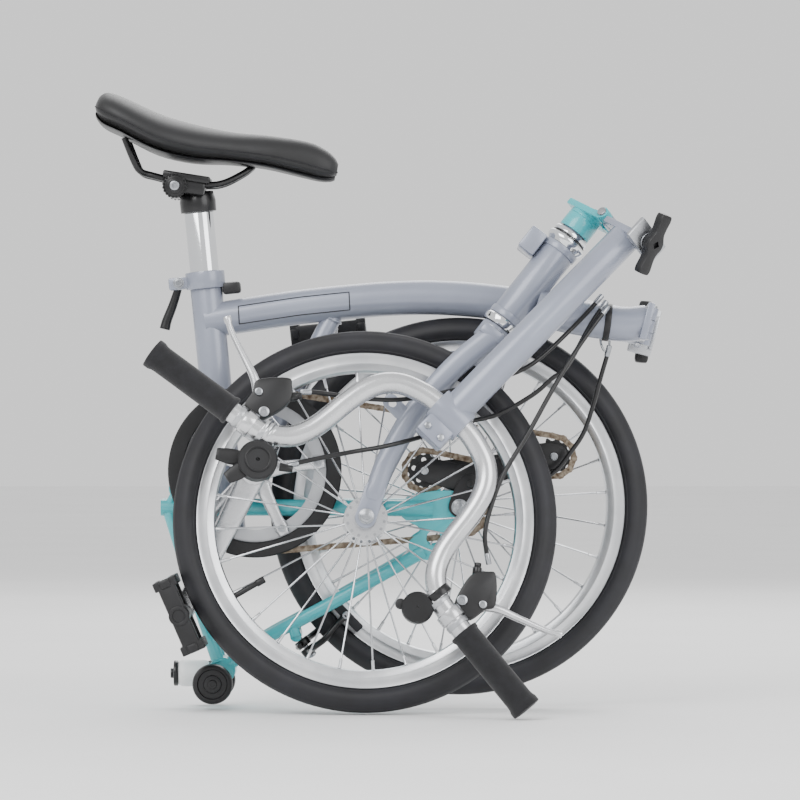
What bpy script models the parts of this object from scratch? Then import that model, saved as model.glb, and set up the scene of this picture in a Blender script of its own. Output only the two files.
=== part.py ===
"""Folding bicycle with 16 inch wheels. Every piece is drawn on the bicycle ready to ride, in metres,
X forward, Y left, Z up, and the empties on its fold axes then turn the pieces into the folded package."""

import math

import bmesh
import bpy
from mathutils import Matrix, Quaternion, Vector

# Driving dimensions, ready to ride; the bottom bracket is at x = 0, the ground at z = 0
WHEEL_RADIUS = 0.2065
TYRE_WIDTH = 0.035
RIM_OUTER = 0.1811
RIM_INNER = 0.1610
SPOKES = 28
BRACKET = Vector((0, 0, 0.2919))
REAR_HUB = Vector((-0.3762, 0, WHEEL_RADIUS))
FRONT_HUB = Vector((0.6377, 0, WHEEL_RADIUS))
REAR_PIVOT = Vector((-0.0770, 0, 0.2600))
SEAT_TUBE_TOP = Vector((-0.0892, 0, 0.4985))
SEAT_ANGLE = math.radians(75.54)
HEAD_POINT = Vector((0.5176, 0, 0.5502))
HEAD_ANGLE = math.radians(73.15)
STEM_BASE_HEIGHT = 0.0534
STEM_LENGTH = 0.2837
CRANK_LENGTH = 0.172
CRANK_ANGLE = math.radians(71.9)
CHAIN_LINE = -0.0430
FRAME_PIN = Vector((0.3984, -0.034, 0.5130))
FRAME_PIN_AXIS = Vector((0.1069, 0.0732, 0.9916)).normalized()
MAIN_TUBE_RADIUS = 0.0190
SEAT_TUBE_RADIUS = 0.0175
POST_RADIUS = 0.0159
STEM_RADIUS = 0.0172
BAR_RADIUS = 0.0115
GAP = 0.0003

# The folded package: how far each fold has turned, and how the package stands
REAR_FOLD = -175
FRONT_FOLD = 180
FORK_TURN = 180
STEM_FOLD = 180
STAND_PITCH = 8.849
STAND_AT = Vector((-0.1577, 0.0, 0.2604))
CENTRE_SHIFT = Vector((0.02097, 0.04136, -0.00125))

# Directions worked out from the angles
LEFT = Vector((0, 1, 0))
SEAT_AXIS = Vector((-math.cos(SEAT_ANGLE), 0, math.sin(SEAT_ANGLE)))
STEER_AXIS = Vector((-math.cos(HEAD_ANGLE), 0, math.sin(HEAD_ANGLE)))
STEER_FORWARD = Vector((math.sin(HEAD_ANGLE), 0, math.cos(HEAD_ANGLE)))
CRANK_DOWN = Vector((-math.cos(CRANK_ANGLE), 0, -math.sin(CRANK_ANGLE)))
STEM_BASE = HEAD_POINT + STEER_AXIS * STEM_BASE_HEIGHT
STEM_PIN = STEM_BASE + (STEER_FORWARD - LEFT) * 0.025
STEM_PIN_AXIS = ((STEER_FORWARD + LEFT) / math.sqrt(2) - STEER_AXIS * 0.0714).normalized()

for old in list(bpy.data.objects):
    bpy.data.objects.remove(old)

bicycle = bpy.data.collections.new("folding_bicycle")
bpy.context.scene.collection.children.link(bicycle)
axes_empties = bpy.data.collections.new("joint_axes")
bpy.context.scene.collection.children.link(axes_empties)
drawn_at = {}


# ---------------------------------------------------------------- materials

def finish(name, colour, roughness, metallic=0.0):
    material = bpy.data.materials.new(name)
    material.use_nodes = True
    shader = material.node_tree.nodes["Principled BSDF"]
    shader.inputs["Base Color"].default_value = (*colour, 1)
    shader.inputs["Roughness"].default_value = roughness
    shader.inputs["Metallic"].default_value = metallic
    material.diffuse_color = (*colour, 1)
    return material


GREY_PAINT = finish("grey_paint", (0.31, 0.33, 0.40), 0.35, 0.3)
TURQUOISE_PAINT = finish("turquoise_paint", (0.06, 0.41, 0.45), 0.35)
POLISHED = finish("polished_aluminium", (0.80, 0.80, 0.82), 0.18, 1.0)
BRUSHED = finish("brushed_aluminium", (0.62, 0.62, 0.64), 0.35, 1.0)
STEEL = finish("zinc_steel", (0.50, 0.50, 0.52), 0.30, 1.0)
CHROME = finish("chrome", (0.85, 0.85, 0.87), 0.08, 1.0)
BLACK_PLASTIC = finish("black_plastic", (0.015, 0.015, 0.017), 0.45)
BLACK_METAL = finish("black_metal", (0.02, 0.02, 0.022), 0.35, 0.4)
RUBBER = finish("tyre_rubber", (0.018, 0.018, 0.022), 0.75)
FOAM = finish("grip_foam", (0.015, 0.015, 0.017), 0.85)
PADDING = finish("saddle_cover", (0.03, 0.03, 0.035), 0.55)
ELASTOMER = finish("white_elastomer", (0.80, 0.80, 0.80), 0.5)


# ---------------------------------------------------------------- joint axes

def hinge(name, parent, point, axis=(0, 1, 0), turned=0.0):
    """An empty on a joint's axis: what hangs on it is drawn ready to ride and turned by these degrees."""
    empty = bpy.data.objects.new(name, None)
    empty.empty_display_size = 0.03
    axes_empties.objects.link(empty)
    empty.rotation_mode = "QUATERNION"
    empty.rotation_quaternion = Quaternion(Vector(axis), math.radians(turned))
    empty.location = point
    if parent:
        empty.parent = parent
        empty.matrix_parent_inverse = Matrix.Translation(-drawn_at[parent.name])
    drawn_at[name] = Vector(point)
    return empty


package = hinge("package_axis", None, CENTRE_SHIFT)
drawn_at["package_axis"] = Vector((0, 0, 0))
stand = hinge("stand", None, STAND_AT + CENTRE_SHIFT, LEFT, STAND_PITCH)
drawn_at["stand"] = BRACKET
rear_axis = hinge("rear_frame_axis", stand, REAR_PIVOT, LEFT, REAR_FOLD)
rear_wheel_axis = hinge("rear_wheel_axis", rear_axis, REAR_HUB)
front_axis = hinge("front_frame_axis", stand, FRAME_PIN, FRAME_PIN_AXIS, FRONT_FOLD)
fork_axis = hinge("fork_axis", front_axis, HEAD_POINT, STEER_AXIS, FORK_TURN)
front_wheel_axis = hinge("front_wheel_axis", fork_axis, FRONT_HUB)
stem_axis = hinge("stem_axis", fork_axis, STEM_PIN, STEM_PIN_AXIS, STEM_FOLD)
post_axis = hinge("seat_post_axis", stand, SEAT_TUBE_TOP, SEAT_AXIS)
crank_axis = hinge("crank_axis", stand, BRACKET)


# ---------------------------------------------------------------- shapes

def frame_of(direction, across=None):
    """Rotation whose Z is the direction and whose X is as near as it can be to across."""
    z = Vector(direction).normalized()
    guide = Vector(across) if across else (Vector((1, 0, 0)) if abs(z.x) < 0.9 else LEFT)
    y = z.cross(guide).normalized()
    return Matrix((y.cross(z), y, z)).transposed()


def at(centre, rotation=None):
    return Matrix.Translation(Vector(centre)) @ (rotation.to_4x4() if rotation else Matrix())


def from_bmesh(bm):
    bmesh.ops.recalc_face_normals(bm, faces=bm.faces)
    mesh = bpy.data.meshes.new("shape")
    bm.to_mesh(mesh)
    bm.free()
    obj = bpy.data.objects.new("shape", mesh)
    bicycle.objects.link(obj)
    return obj


def rod(start, end, radius, end_radius=None, sides=16):
    start, end = Vector(start), Vector(end)
    bm = bmesh.new()
    place = at((start + end) / 2, frame_of(end - start))
    bmesh.ops.create_cone(bm, cap_ends=True, segments=sides, radius1=radius, depth=(end - start).length,
                          radius2=radius if end_radius is None else end_radius, matrix=place)
    return from_bmesh(bm)


def block(size, centre, rotation=None):
    bm = bmesh.new()
    bmesh.ops.create_cube(bm, size=1.0, matrix=at(centre, rotation) @ Matrix.Diagonal((*size, 1)))
    return from_bmesh(bm)


def baked(obj, move=None):
    """The evaluated shape as one plain mesh, its doubles merged and its faces pointing out."""
    graph = bpy.context.evaluated_depsgraph_get()
    mesh = bpy.data.meshes.new_from_object(obj.evaluated_get(graph))
    bpy.data.objects.remove(obj)
    bm = bmesh.new()
    bm.from_mesh(mesh)
    bmesh.ops.remove_doubles(bm, verts=bm.verts, dist=0.000005)
    if move:
        bmesh.ops.transform(bm, matrix=move, verts=bm.verts)
    return from_bmesh(bm)


def turned(outline, centre, axis, steps=24):
    """A closed outline of (radius, height) points turned round the axis through the centre."""
    mesh = bpy.data.meshes.new("outline")
    count = len(outline)
    mesh.from_pydata([(r, 0, h) for r, h in outline], [(i, (i + 1) % count) for i in range(count)], [])
    obj = bpy.data.objects.new("outline", mesh)
    bicycle.objects.link(obj)
    screw = obj.modifiers.new("turn", "SCREW")
    screw.steps = screw.render_steps = steps
    screw.use_merge_vertices = True
    screw.merge_threshold = 0.00001
    return baked(obj, at(centre, frame_of(axis)))


def ring(inner, outer, low, high, centre, axis, steps=24):
    return turned([(inner, low), (outer, low), (outer, high), (inner, high)], centre, axis, steps)


def tube(points, radius, sides=12, closed=False):
    curve = bpy.data.curves.new("route", "CURVE")
    curve.dimensions = "3D"
    curve.bevel_depth = radius
    curve.bevel_resolution = (sides - 4) // 2
    curve.use_fill_caps = True
    curve.render_resolution_u = 0
    spline = curve.splines.new("POLY")
    spline.points.add(len(points) - 1)
    for point, place in zip(spline.points, points):
        point.co = (*place, 1)
    spline.use_cyclic_u = closed
    obj = bpy.data.objects.new("route", curve)
    bicycle.objects.link(obj)
    return baked(obj)


def smooth(points, per_span=4, closed=False):
    """Points along a smooth curve through the given ones."""
    points = [Vector(p) for p in points]
    count = len(points)
    spans = count if closed else count - 1
    path = []
    for i in range(spans):
        if closed:
            p0, p1, p2, p3 = (points[(i + k) % count] for k in (-1, 0, 1, 2))
        else:
            p1, p2 = points[i], points[i + 1]
            p0 = points[i - 1] if i else p1 * 2 - p2
            p3 = points[i + 2] if i + 2 < count else p2 * 2 - p1
        for step in range(per_span):
            t = step / per_span
            path.append((p1 * 2 + (p2 - p0) * t + (p0 * 2 - p1 * 5 + p2 * 4 - p3) * t * t
                         + (p1 * 3 - p0 - p2 * 3 + p3) * t ** 3) / 2)
    if not closed:
        path.append(points[-1])
    return path


def slab(outline, thickness, centre=(0, 0, 0), rotation=None):
    """A flat outline, extruded. Without a rotation the outline lies in the X-Z plane."""
    curve = bpy.data.curves.new("outline", "CURVE")
    curve.dimensions = "2D"
    curve.fill_mode = "BOTH"
    curve.extrude = thickness / 2
    curve.render_resolution_u = 0
    spline = curve.splines.new("POLY")
    spline.points.add(len(outline) - 1)
    for point, (x, z) in zip(spline.points, outline):
        point.co = (x, z, 0, 1)
    spline.use_cyclic_u = True
    obj = bpy.data.objects.new("outline", curve)
    bicycle.objects.link(obj)
    upright = rotation or Matrix(((1, 0, 0), (0, 0, -1), (0, 1, 0)))
    return baked(obj, at(centre, upright))


def oval(half_length, half_width, points=16, centre=(0, 0), angle=0.0):
    """A stadium outline: two half circles joined by straight sides."""
    run = half_length - half_width
    outline = []
    for i in range(points):
        turn = 2 * math.pi * (i + 0.5) / points
        x = half_width * math.cos(turn) + math.copysign(run, math.cos(turn))
        z = half_width * math.sin(turn)
        outline.append((centre[0] + x * math.cos(angle) - z * math.sin(angle),
                        centre[1] + x * math.sin(angle) + z * math.cos(angle)))
    return outline


def mirrored(points, side):
    return [(x, y * side, z) for x, y, z in points]


def combine(pieces, cuts=()):
    body = pieces[0]
    tools = [(tool, "UNION") for tool in pieces[1:]] + [(tool, "DIFFERENCE") for tool in cuts]
    if not tools:
        return body
    for tool, operation in tools:
        boolean = body.modifiers.new(operation, "BOOLEAN")
        boolean.operation = operation
        boolean.solver = "EXACT"
        boolean.object = tool
    graph = bpy.context.evaluated_depsgraph_get()
    mesh = bpy.data.meshes.new_from_object(body.evaluated_get(graph))
    for tool, _ in tools:
        bpy.data.objects.remove(tool)
    body.modifiers.clear()
    body.data = mesh
    return body


def part(name, axis, material, pieces, cuts=(), smooth_angle=35):
    """One named sub-part: its pieces joined, its cuts taken out, hung on the empty of its joint."""
    body = combine(pieces, cuts)
    body.name = name
    body.data.name = name
    body.data.materials.clear()
    body.data.materials.append(material)
    origin = drawn_at[axis.name]
    body.data.transform(Matrix.Translation(-origin))
    body.location = origin
    body.parent = axis
    body.matrix_parent_inverse = Matrix.Translation(-origin)
    body.data.shade_smooth()
    body.data.set_sharp_from_angle(angle=math.radians(smooth_angle))
    return body


# ---------------------------------------------------------------- clamped fold hinge

PLATE = 0.008
PLATE_REACH = 0.056
KNUCKLE = 0.0068


class FoldHinge:
    """A pin with two end plates. across runs from the pin over the joint, forward is the moving side."""

    def __init__(self, pin, pin_axis, tube_axis, tall=0.042):
        self.pin = Vector(pin)
        self.up = Vector(pin_axis)
        self.forward = (tube_axis - self.up * tube_axis.dot(self.up)).normalized()
        self.across = self.up.cross(self.forward)
        self.rotation = Matrix((self.across, self.forward, self.up)).transposed()
        self.tall = tall

    def spot(self, across, forward, up):
        return self.pin + self.across * across + self.forward * forward + self.up * up

    def box(self, low, high):
        centre = [(a + b) / 2 for a, b in zip(low, high)]
        size = [b - a for a, b in zip(low, high)]
        return block(size, self.spot(*centre), self.rotation)

    def knuckle(self, low, high, radius=KNUCKLE):
        return rod(self.spot(0, 0, low), self.spot(0, 0, high), radius, sides=16)

    def half(self, side):
        """Plate and knuckles of the fixed (-1) or the moving (+1) half, and what has to be cut from them."""
        near, far = sorted((side * GAP, side * PLATE))
        top = self.tall / 2
        plate = self.box((0, near, 0.0006 - top), (PLATE_REACH, far, top - 0.0006))
        third = self.tall / 6
        if side < 0:
            knuckles = [self.knuckle(-top, -third - GAP), self.knuckle(third + GAP, top)]
            clear = [self.knuckle(-third - GAP / 2, third + GAP / 2, KNUCKLE + 0.0006)]
        else:
            knuckles = [self.knuckle(-third + GAP, third - GAP)]
            clear = [self.knuckle(-top - 0.001, -third + GAP / 2, KNUCKLE + 0.0006),
                     self.knuckle(third - GAP / 2, top + 0.001, KNUCKLE + 0.0006)]
        plate = combine([plate], clear)
        bore = self.knuckle(-top - 0.002, top + 0.002, 0.0034)
        groove = rod(self.spot(PLATE_REACH - 0.017, 0, 0), self.spot(PLATE_REACH + 0.002, 0, 0), 0.0046)
        low, high = sorted((side * GAP / 2, -side * 0.030))
        beyond = self.box((0.012, low, -0.040), (PLATE_REACH + 0.010, high, 0.040))
        return [plate] + knuckles, [bore, groove, beyond]

    def pin_rod(self):
        top = self.tall / 2
        return [self.knuckle(-top, top + 0.001, 0.0031), self.knuckle(top + GAP, top + 0.003, 0.0055)]

    def clamp_channel(self, loose=0.0045):
        """A channel that hooks over both plates' edges, drawn loosened outward."""
        inner = PLATE + 0.0012
        start = PLATE_REACH + loose
        web = self.box((start, -inner - 0.004, -0.026), (start + 0.0055, inner + 0.004, 0.026))
        hooks = [self.box((start - 0.0035, -inner - 0.004, -0.019), (start + 0.001, -inner, 0.019)),
                 self.box((start - 0.0035, inner, -0.019), (start + 0.001, inner + 0.004, 0.019))]
        bolt_hole = rod(self.spot(start - 0.01, 0, 0), self.spot(start + 0.01, 0, 0), 0.0044)
        return [web] + hooks, [bolt_hole]

    def clamp_lever(self, lean, loose=0.0045):
        """A dog-bone handle on the clamp bolt, its long side turned from the pin's direction by lean."""
        seat = PLATE_REACH + loose + 0.0055 + GAP
        flat = Matrix((self.up, self.forward, self.across)).transposed()
        flat = flat @ Matrix.Rotation(lean, 3, "Z")
        bone = []
        for sign in (1, -1):
            bone += [(sign * x, sign * z) for x, z in
                     [(0.0340, -0.0050), (0.0340, 0.0050), (0.0290, 0.0075), (0.0200, 0.0065), (0.0110, 0.0062),
                      (0.0060, 0.0095), (0.0, 0.0105), (-0.0060, 0.0095), (-0.0110, 0.0062), (-0.0200, 0.0065),
                      (-0.0290, 0.0075)]]
        handle = slab(bone, 0.010, self.spot(seat + 0.008, 0, 0), flat)
        boss = rod(self.spot(seat, 0, 0), self.spot(seat + 0.004, 0, 0), 0.0085)
        bolt = rod(self.spot(PLATE_REACH - 0.010, 0, 0), self.spot(seat + 0.005, 0, 0), 0.0040)
        return [handle, boss, bolt]


# ---------------------------------------------------------------- main frame

frame_hinge = FoldHinge(FRAME_PIN, FRAME_PIN_AXIS, Vector((1, 0, -0.10)))
MAIN_TUBE_ROUTE = [(-0.080, 0, 0.4440), (-0.045, 0, 0.4555), (0.020, 0, 0.4757), (0.084, 0, 0.4925),
                   (0.122, 0, 0.5012), (0.160, 0, 0.5080), (0.198, 0, 0.5122), (0.236, 0, 0.5142),
                   (0.270, 0, 0.5147), (0.303, 0, 0.5143), (0.350, 0, 0.5122)]
TUBE_END = frame_hinge.spot(0.034, -PLATE / 2, 0)
SEAT_TUBE_BOTTOM = SEAT_TUBE_TOP - SEAT_AXIS * 0.294


def main_frame():
    half, hinge_cuts = frame_hinge.half(-1)
    pieces = [
        rod(SEAT_TUBE_BOTTOM, SEAT_TUBE_TOP, SEAT_TUBE_RADIUS, sides=20),
        tube(MAIN_TUBE_ROUTE + [TUBE_END], MAIN_TUBE_RADIUS, 14),
        rod((0.0574, 0, 0.4720), BRACKET - Vector((0.004, 0, 0)), 0.0105, sides=12),
        rod(BRACKET - LEFT * 0.034, BRACKET + LEFT * 0.034, 0.0175, sides=20),
        rod(BRACKET, (-0.0300, 0, 0.2780), 0.0130, sides=12),
        rod(REAR_PIVOT - LEFT * 0.026, REAR_PIVOT + LEFT * 0.026, 0.0115, sides=16),
        rod(REAR_PIVOT, (-0.0270, 0, 0.2650), 0.0100, sides=12),
    ] + half
    cuts = [
        rod(SEAT_TUBE_BOTTOM - SEAT_AXIS * 0.01, SEAT_TUBE_TOP + SEAT_AXIS * 0.01, POST_RADIUS + GAP, sides=20),
        rod(BRACKET - LEFT * 0.04, BRACKET + LEFT * 0.04, 0.0087, sides=16),
        rod(REAR_PIVOT - LEFT * 0.03, REAR_PIVOT + LEFT * 0.03, 0.0053, sides=12),
    ] + hinge_cuts
    part("main_frame", stand, GREY_PAINT, pieces, cuts)
    part("frame_hinge_pin", stand, STEEL, frame_hinge.pin_rod())


def seat_clamp():
    low, high = SEAT_TUBE_TOP - SEAT_AXIS * 0.0190, SEAT_TUBE_TOP - SEAT_AXIS * 0.0005
    ear_centre = Vector((-0.1120, 0, 0.4812))
    ear_turn = frame_of(SEAT_AXIS, Vector((1, 0, 0)))
    band = [rod(low, high, SEAT_TUBE_RADIUS + 0.0040, sides=24), block((0.030, 0.016, 0.012), ear_centre, ear_turn)]
    bolt = Vector((-0.1150, 0, 0.4812))
    bore = rod(low - SEAT_AXIS * 0.01, high + SEAT_AXIS * 0.01, SEAT_TUBE_RADIUS + GAP, sides=24)
    slot = block((0.060, 0.0030, 0.040), ear_centre - Vector((0.010, 0, 0)), ear_turn)
    clamp_bolt = [rod(bolt - LEFT * 0.0100, bolt + LEFT * 0.0148, 0.0030, sides=12),
                  rod(bolt - LEFT * 0.0130, bolt - LEFT * 0.0070, 0.0055, sides=12)]
    band = [combine(band, [bore, slot])] + clamp_bolt
    part("seat_clamp", stand, GREY_PAINT, band)
    cam = bolt + LEFT * 0.0205
    lever_axis = hinge("seat_lever_axis", stand, cam, SEAT_AXIS.cross(LEFT))
    grip = [(cam.x, cam.y, cam.z), (-0.1165, 0.0212, 0.4700), (-0.1190, 0.0212, 0.4550), (-0.1225, 0.0210, 0.4390),
            (-0.1235, 0.0205, 0.4290)]
    barrel = rod(cam - Vector((0.006, 0, 0)), cam + Vector((0.006, 0, 0)), 0.0046, sides=14)
    part("seat_clamp_lever", lever_axis, BLACK_METAL, [tube(smooth(grip, 2), 0.0040, 10), barrel])


def frame_clamp():
    plate_axis = hinge("frame_clamp_axis", stand, frame_hinge.spot(PLATE_REACH, 0, 0), frame_hinge.across)
    channel, holes = frame_hinge.clamp_channel()
    part("frame_clamp_plate", plate_axis, BRUSHED, channel, holes)
    lever_axis = hinge("frame_lever_axis", plate_axis, frame_hinge.spot(PLATE_REACH, 0, 0), frame_hinge.across)
    part("frame_clamp_lever", lever_axis, BLACK_PLASTIC, frame_hinge.clamp_lever(math.radians(-10)))


# ---------------------------------------------------------------- seat post and saddle

SADDLE_SECTIONS = [
    # x, top, bottom, half width
    (-0.232, 0.664, 0.651, 0.052), (-0.224, 0.675, 0.642, 0.066), (-0.200, 0.671, 0.634, 0.075),
    (-0.160, 0.660, 0.620, 0.077), (-0.120, 0.655, 0.617, 0.064), (-0.080, 0.654, 0.622, 0.044),
    (-0.040, 0.656, 0.624, 0.031), (0.000, 0.656, 0.620, 0.025), (0.025, 0.649, 0.619, 0.021),
    (0.038, 0.637, 0.624, 0.012)]


def saddle_shape():
    """A loft through upright sections: flat below, crowned above."""
    bm = bmesh.new()
    rings = []
    for x, top, bottom, half in SADDLE_SECTIONS:
        points = []
        for i in range(12):
            turn = 2 * math.pi * i / 12
            wide = math.copysign(abs(math.cos(turn)) ** 0.7, math.cos(turn)) * half
            rise = math.copysign(abs(math.sin(turn)) ** 0.8, math.sin(turn))
            points.append(bm.verts.new((x, wide, (top + bottom) / 2 + rise * (top - bottom) / 2)))
        rings.append(points)
    for one, two in zip(rings, rings[1:]):
        for i in range(12):
            bm.faces.new((one[i], one[(i + 1) % 12], two[(i + 1) % 12], two[i]))
    bm.faces.new(rings[0])
    bm.faces.new(list(reversed(rings[-1])))
    return from_bmesh(bm)


def seat_post():
    bottom, top = SEAT_TUBE_TOP - SEAT_AXIS * 0.290, SEAT_TUBE_TOP + SEAT_AXIS * 0.0750
    bore = rod(bottom - SEAT_AXIS * 0.01, top - SEAT_AXIS * 0.012, POST_RADIUS - 0.0018, sides=20)
    part("seat_post", post_axis, CHROME, [rod(bottom, top, POST_RADIUS, sides=20)], [bore])
    rail_half = [(-0.1960, 0.043, 0.6280), (-0.1830, 0.040, 0.6060), (-0.1740, 0.034, 0.5950),
                 (-0.1600, 0.026, 0.5925), (-0.1250, 0.022, 0.5900), (-0.0980, 0.021, 0.5920),
                 (-0.0820, 0.017, 0.5970), (-0.0650, 0.011, 0.6090), (-0.0560, 0.006, 0.6175)]
    route = rail_half + mirrored(rail_half[::-1], -1)
    body = [rod(top - SEAT_AXIS * 0.010, top + SEAT_AXIS * 0.012, 0.0195, 0.0165, 16),
            block((0.046, 0.056, 0.018), (-0.1235, 0, 0.5870)),
            rod((-0.1345, -0.031, 0.5850), (-0.1345, 0.031, 0.5850), 0.0130, sides=18)]
    cuts = [tube(smooth(route, 1), 0.0039, 8), rod(bottom, top + SEAT_AXIS * GAP, POST_RADIUS + GAP, sides=20)]
    part("saddle_clamp", post_axis, BLACK_PLASTIC, body, cuts)
    part("saddle_rails", post_axis, BLACK_METAL, [tube(smooth(route, 1), 0.0035, 8)])
    part("saddle", post_axis, PADDING, [saddle_shape()], smooth_angle=60)


# ---------------------------------------------------------------- cranks and pedals

def pedal(name, axis, side, spindle_end, tilt):
    """A cage with open sides round its own barrel, outward from the crank."""
    middle = Vector(spindle_end) + LEFT * side * 0.0540
    turn = Matrix.Rotation(-tilt, 3, "Y")
    pieces = [rod(middle - LEFT * 0.0475, middle + LEFT * 0.0475, 0.0110, sides=14)]
    for end in (-1, 1):
        pieces.append(block((0.010, 0.095, 0.026), middle + turn @ Vector((end * 0.037, 0, 0)), turn))
        pieces.append(block((0.074, 0.008, 0.020), middle + LEFT * end * 0.0420, turn))
    pieces.append(block((0.074, 0.010, 0.016), middle, turn))
    bore = rod(middle - LEFT * 0.06, middle + LEFT * 0.06, 0.0068, sides=12)
    part(name, axis, BLACK_PLASTIC, pieces, [bore])


def crank_set():
    right_end = BRACKET + CRANK_DOWN * CRANK_LENGTH - LEFT * 0.0640
    left_end = BRACKET - CRANK_DOWN * CRANK_LENGTH + LEFT * 0.0620
    along = frame_of(LEFT, CRANK_DOWN)
    arm = [(-0.004, -0.0150), (0.150, -0.0105), (CRANK_LENGTH, -0.0115), (CRANK_LENGTH + 0.009, -0.0080),
           (CRANK_LENGTH + 0.012, 0.0), (CRANK_LENGTH + 0.009, 0.0080), (CRANK_LENGTH, 0.0115),
           (0.150, 0.0105), (-0.004, 0.0150)]
    right = [slab(arm, 0.012, BRACKET - LEFT * 0.0640, along),
             rod(BRACKET - LEFT * 0.0475, BRACKET - LEFT * 0.0730, 0.0185, 0.0150, 20),
             rod(right_end + LEFT * 0.004, right_end - LEFT * 0.0980, 0.0062, sides=14)]
    for k in range(5):
        reach = Quaternion(LEFT, 2 * math.pi * k / 5 + 0.35) @ CRANK_DOWN
        turn = frame_of(LEFT, reach)
        right.append(block((0.068, 0.013, 0.0045), BRACKET + reach * 0.0420 - LEFT * 0.0500, turn))
    part("crank_right", crank_axis, POLISHED, right)
    part("chainring", crank_axis, BRUSHED, [ring(0.0600, 0.0840, -0.0015, 0.0015, BRACKET + LEFT * CHAIN_LINE,
                                                 LEFT, 30)])
    part("chain_guard", crank_axis, BLACK_PLASTIC,
         [ring(0.0775, 0.0944, -0.0013, 0.0013, BRACKET - LEFT * 0.0502, LEFT, 30)])
    left = [slab([(x, z) for x, z in arm], 0.012, BRACKET + LEFT * 0.0620, frame_of(LEFT, -CRANK_DOWN)),
            rod(BRACKET + LEFT * 0.0505, BRACKET + LEFT * 0.0700, 0.0170, 0.0150, 20),
            rod(left_end - LEFT * 0.004, left_end + LEFT * 0.0980, 0.0062, sides=14),
            rod(BRACKET - LEFT * 0.0470, BRACKET + LEFT * 0.0560, 0.0084, sides=16)]
    part("crank_left", crank_axis, POLISHED, left)
    pedal("pedal_right", hinge("pedal_right_axis", crank_axis, right_end), -1, right_end, math.radians(-57.6))
    pedal("pedal_left", hinge("pedal_left_axis", crank_axis, left_end), 1, left_end, math.radians(15))


# ---------------------------------------------------------------- wheels

def wheel(prefix, axis, hub, half, flange, shell, bore, steps=36):
    w = TYRE_WIDTH / 2
    tread = [(RIM_OUTER + GAP, -w * 0.62), (RIM_OUTER + GAP, w * 0.62), (0.1885, w), (0.1990, w * 0.84),
             (WHEEL_RADIUS, w * 0.26), (WHEEL_RADIUS, -w * 0.26), (0.1990, -w * 0.84), (0.1885, -w)]
    part(prefix + "_tyre", axis, RUBBER, [turned(tread, hub, LEFT, steps)])
    rim = [(RIM_INNER, -0.0085), (RIM_OUTER, -0.0115), (RIM_OUTER, 0.0115), (RIM_INNER, 0.0085)]
    part(prefix + "_rim", axis, BRUSHED, [turned(rim, hub, LEFT, steps)])
    edge = half * 0.72
    body = [(bore, -half), (bore, half), (shell * 0.8, half), (shell, edge), (flange, edge), (flange, edge - 0.003),
            (shell, edge - 0.003), (shell, -edge + 0.003), (flange, -edge + 0.003), (flange, -edge), (shell, -edge),
            (shell * 0.8, -half)]
    pieces = [turned(body, hub, LEFT, 14)]
    for k in range(SPOKES):
        side = 1 if k % 2 else -1
        radial = Quaternion(LEFT, 2 * math.pi * (k + 0.5) / SPOKES) @ Vector((1, 0, 0))
        start = hub + radial * (flange - 0.004) + LEFT * side * (edge - 0.0015)
        pieces.append(rod(start, hub + radial * (RIM_INNER - 0.0009) + LEFT * side * 0.003, 0.0011, sides=3))
    part(prefix + "_hub", axis, BRUSHED, pieces)


def axle(name, axis, hub, left_face, right_face, nut):
    """A threaded axle with a hexagon nut standing on each outer face."""
    pieces = [rod(hub - LEFT * (right_face + 0.0080), hub + LEFT * (left_face + 0.0080), 0.0045, sides=14)]
    for side, face in ((1, left_face), (-1, right_face)):
        pieces.append(rod(hub + LEFT * side * (face + GAP), hub + LEFT * side * (face + 0.0060), nut, sides=6))
    part(name, axis, STEEL, pieces)


# ---------------------------------------------------------------- brakes

def brake_directions(angle, lead):
    """Outward from the hub, and along the rim towards the open side of the calliper."""
    return Vector((math.cos(angle), 0, math.sin(angle))), Vector((-math.sin(angle), 0, math.cos(angle))) * lead


def brake_post(hub, angle, mount_radius, lead, first):
    """The bolt that both arms of a calliper turn on: it runs along the rim from its bridge or crown."""
    out, along = brake_directions(angle, lead)
    pivot = hub + out * mount_radius
    return rod(pivot, pivot + along * (first + 0.0190), 0.0030, sides=10)


def brake(prefix, carrier, hub, angle, mount_radius, lead, first, material=BLACK_METAL):
    """Side-pull calliper: two arms on one bolt that runs along the rim, each with a pad beside the rim."""
    out, along = brake_directions(angle, lead)
    for side, name, near in ((1, "left", first), (-1, "right", first + 0.0105)):
        level = hub + out * mount_radius + along * near
        axis = hinge("%s_brake_arm_%s_axis" % (prefix, name), carrier, level, along)
        inward = (level - hub).normalized()
        pad_at = hub + inward * (RIM_INNER + RIM_OUTER) / 2 + LEFT * side * 0.0180
        route = [level, level + LEFT * side * 0.020 - out * 0.006, level + LEFT * side * 0.0300 - out * 0.024,
                 pad_at + LEFT * side * 0.0110 + inward * 0.012, pad_at + LEFT * side * 0.0060]
        tail = [level, level - LEFT * side * 0.016 + out * 0.006, level - LEFT * side * 0.0300 + out * 0.004]
        pad = block((0.042, 0.0080, 0.0100), pad_at, frame_of(inward, along))
        eye = rod(level - along * 0.0045, level + along * 0.0045, 0.0085, sides=12)
        pieces = [eye, tube(route, 0.0042, 6), tube(tail, 0.0036, 6), pad]
        bore = rod(level - along * 0.01, level + along * 0.01, 0.0033, sides=10)
        part("%s_brake_arm_%s" % (prefix, name), axis, material, pieces, [bore])


# ---------------------------------------------------------------- rear frame

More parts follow.
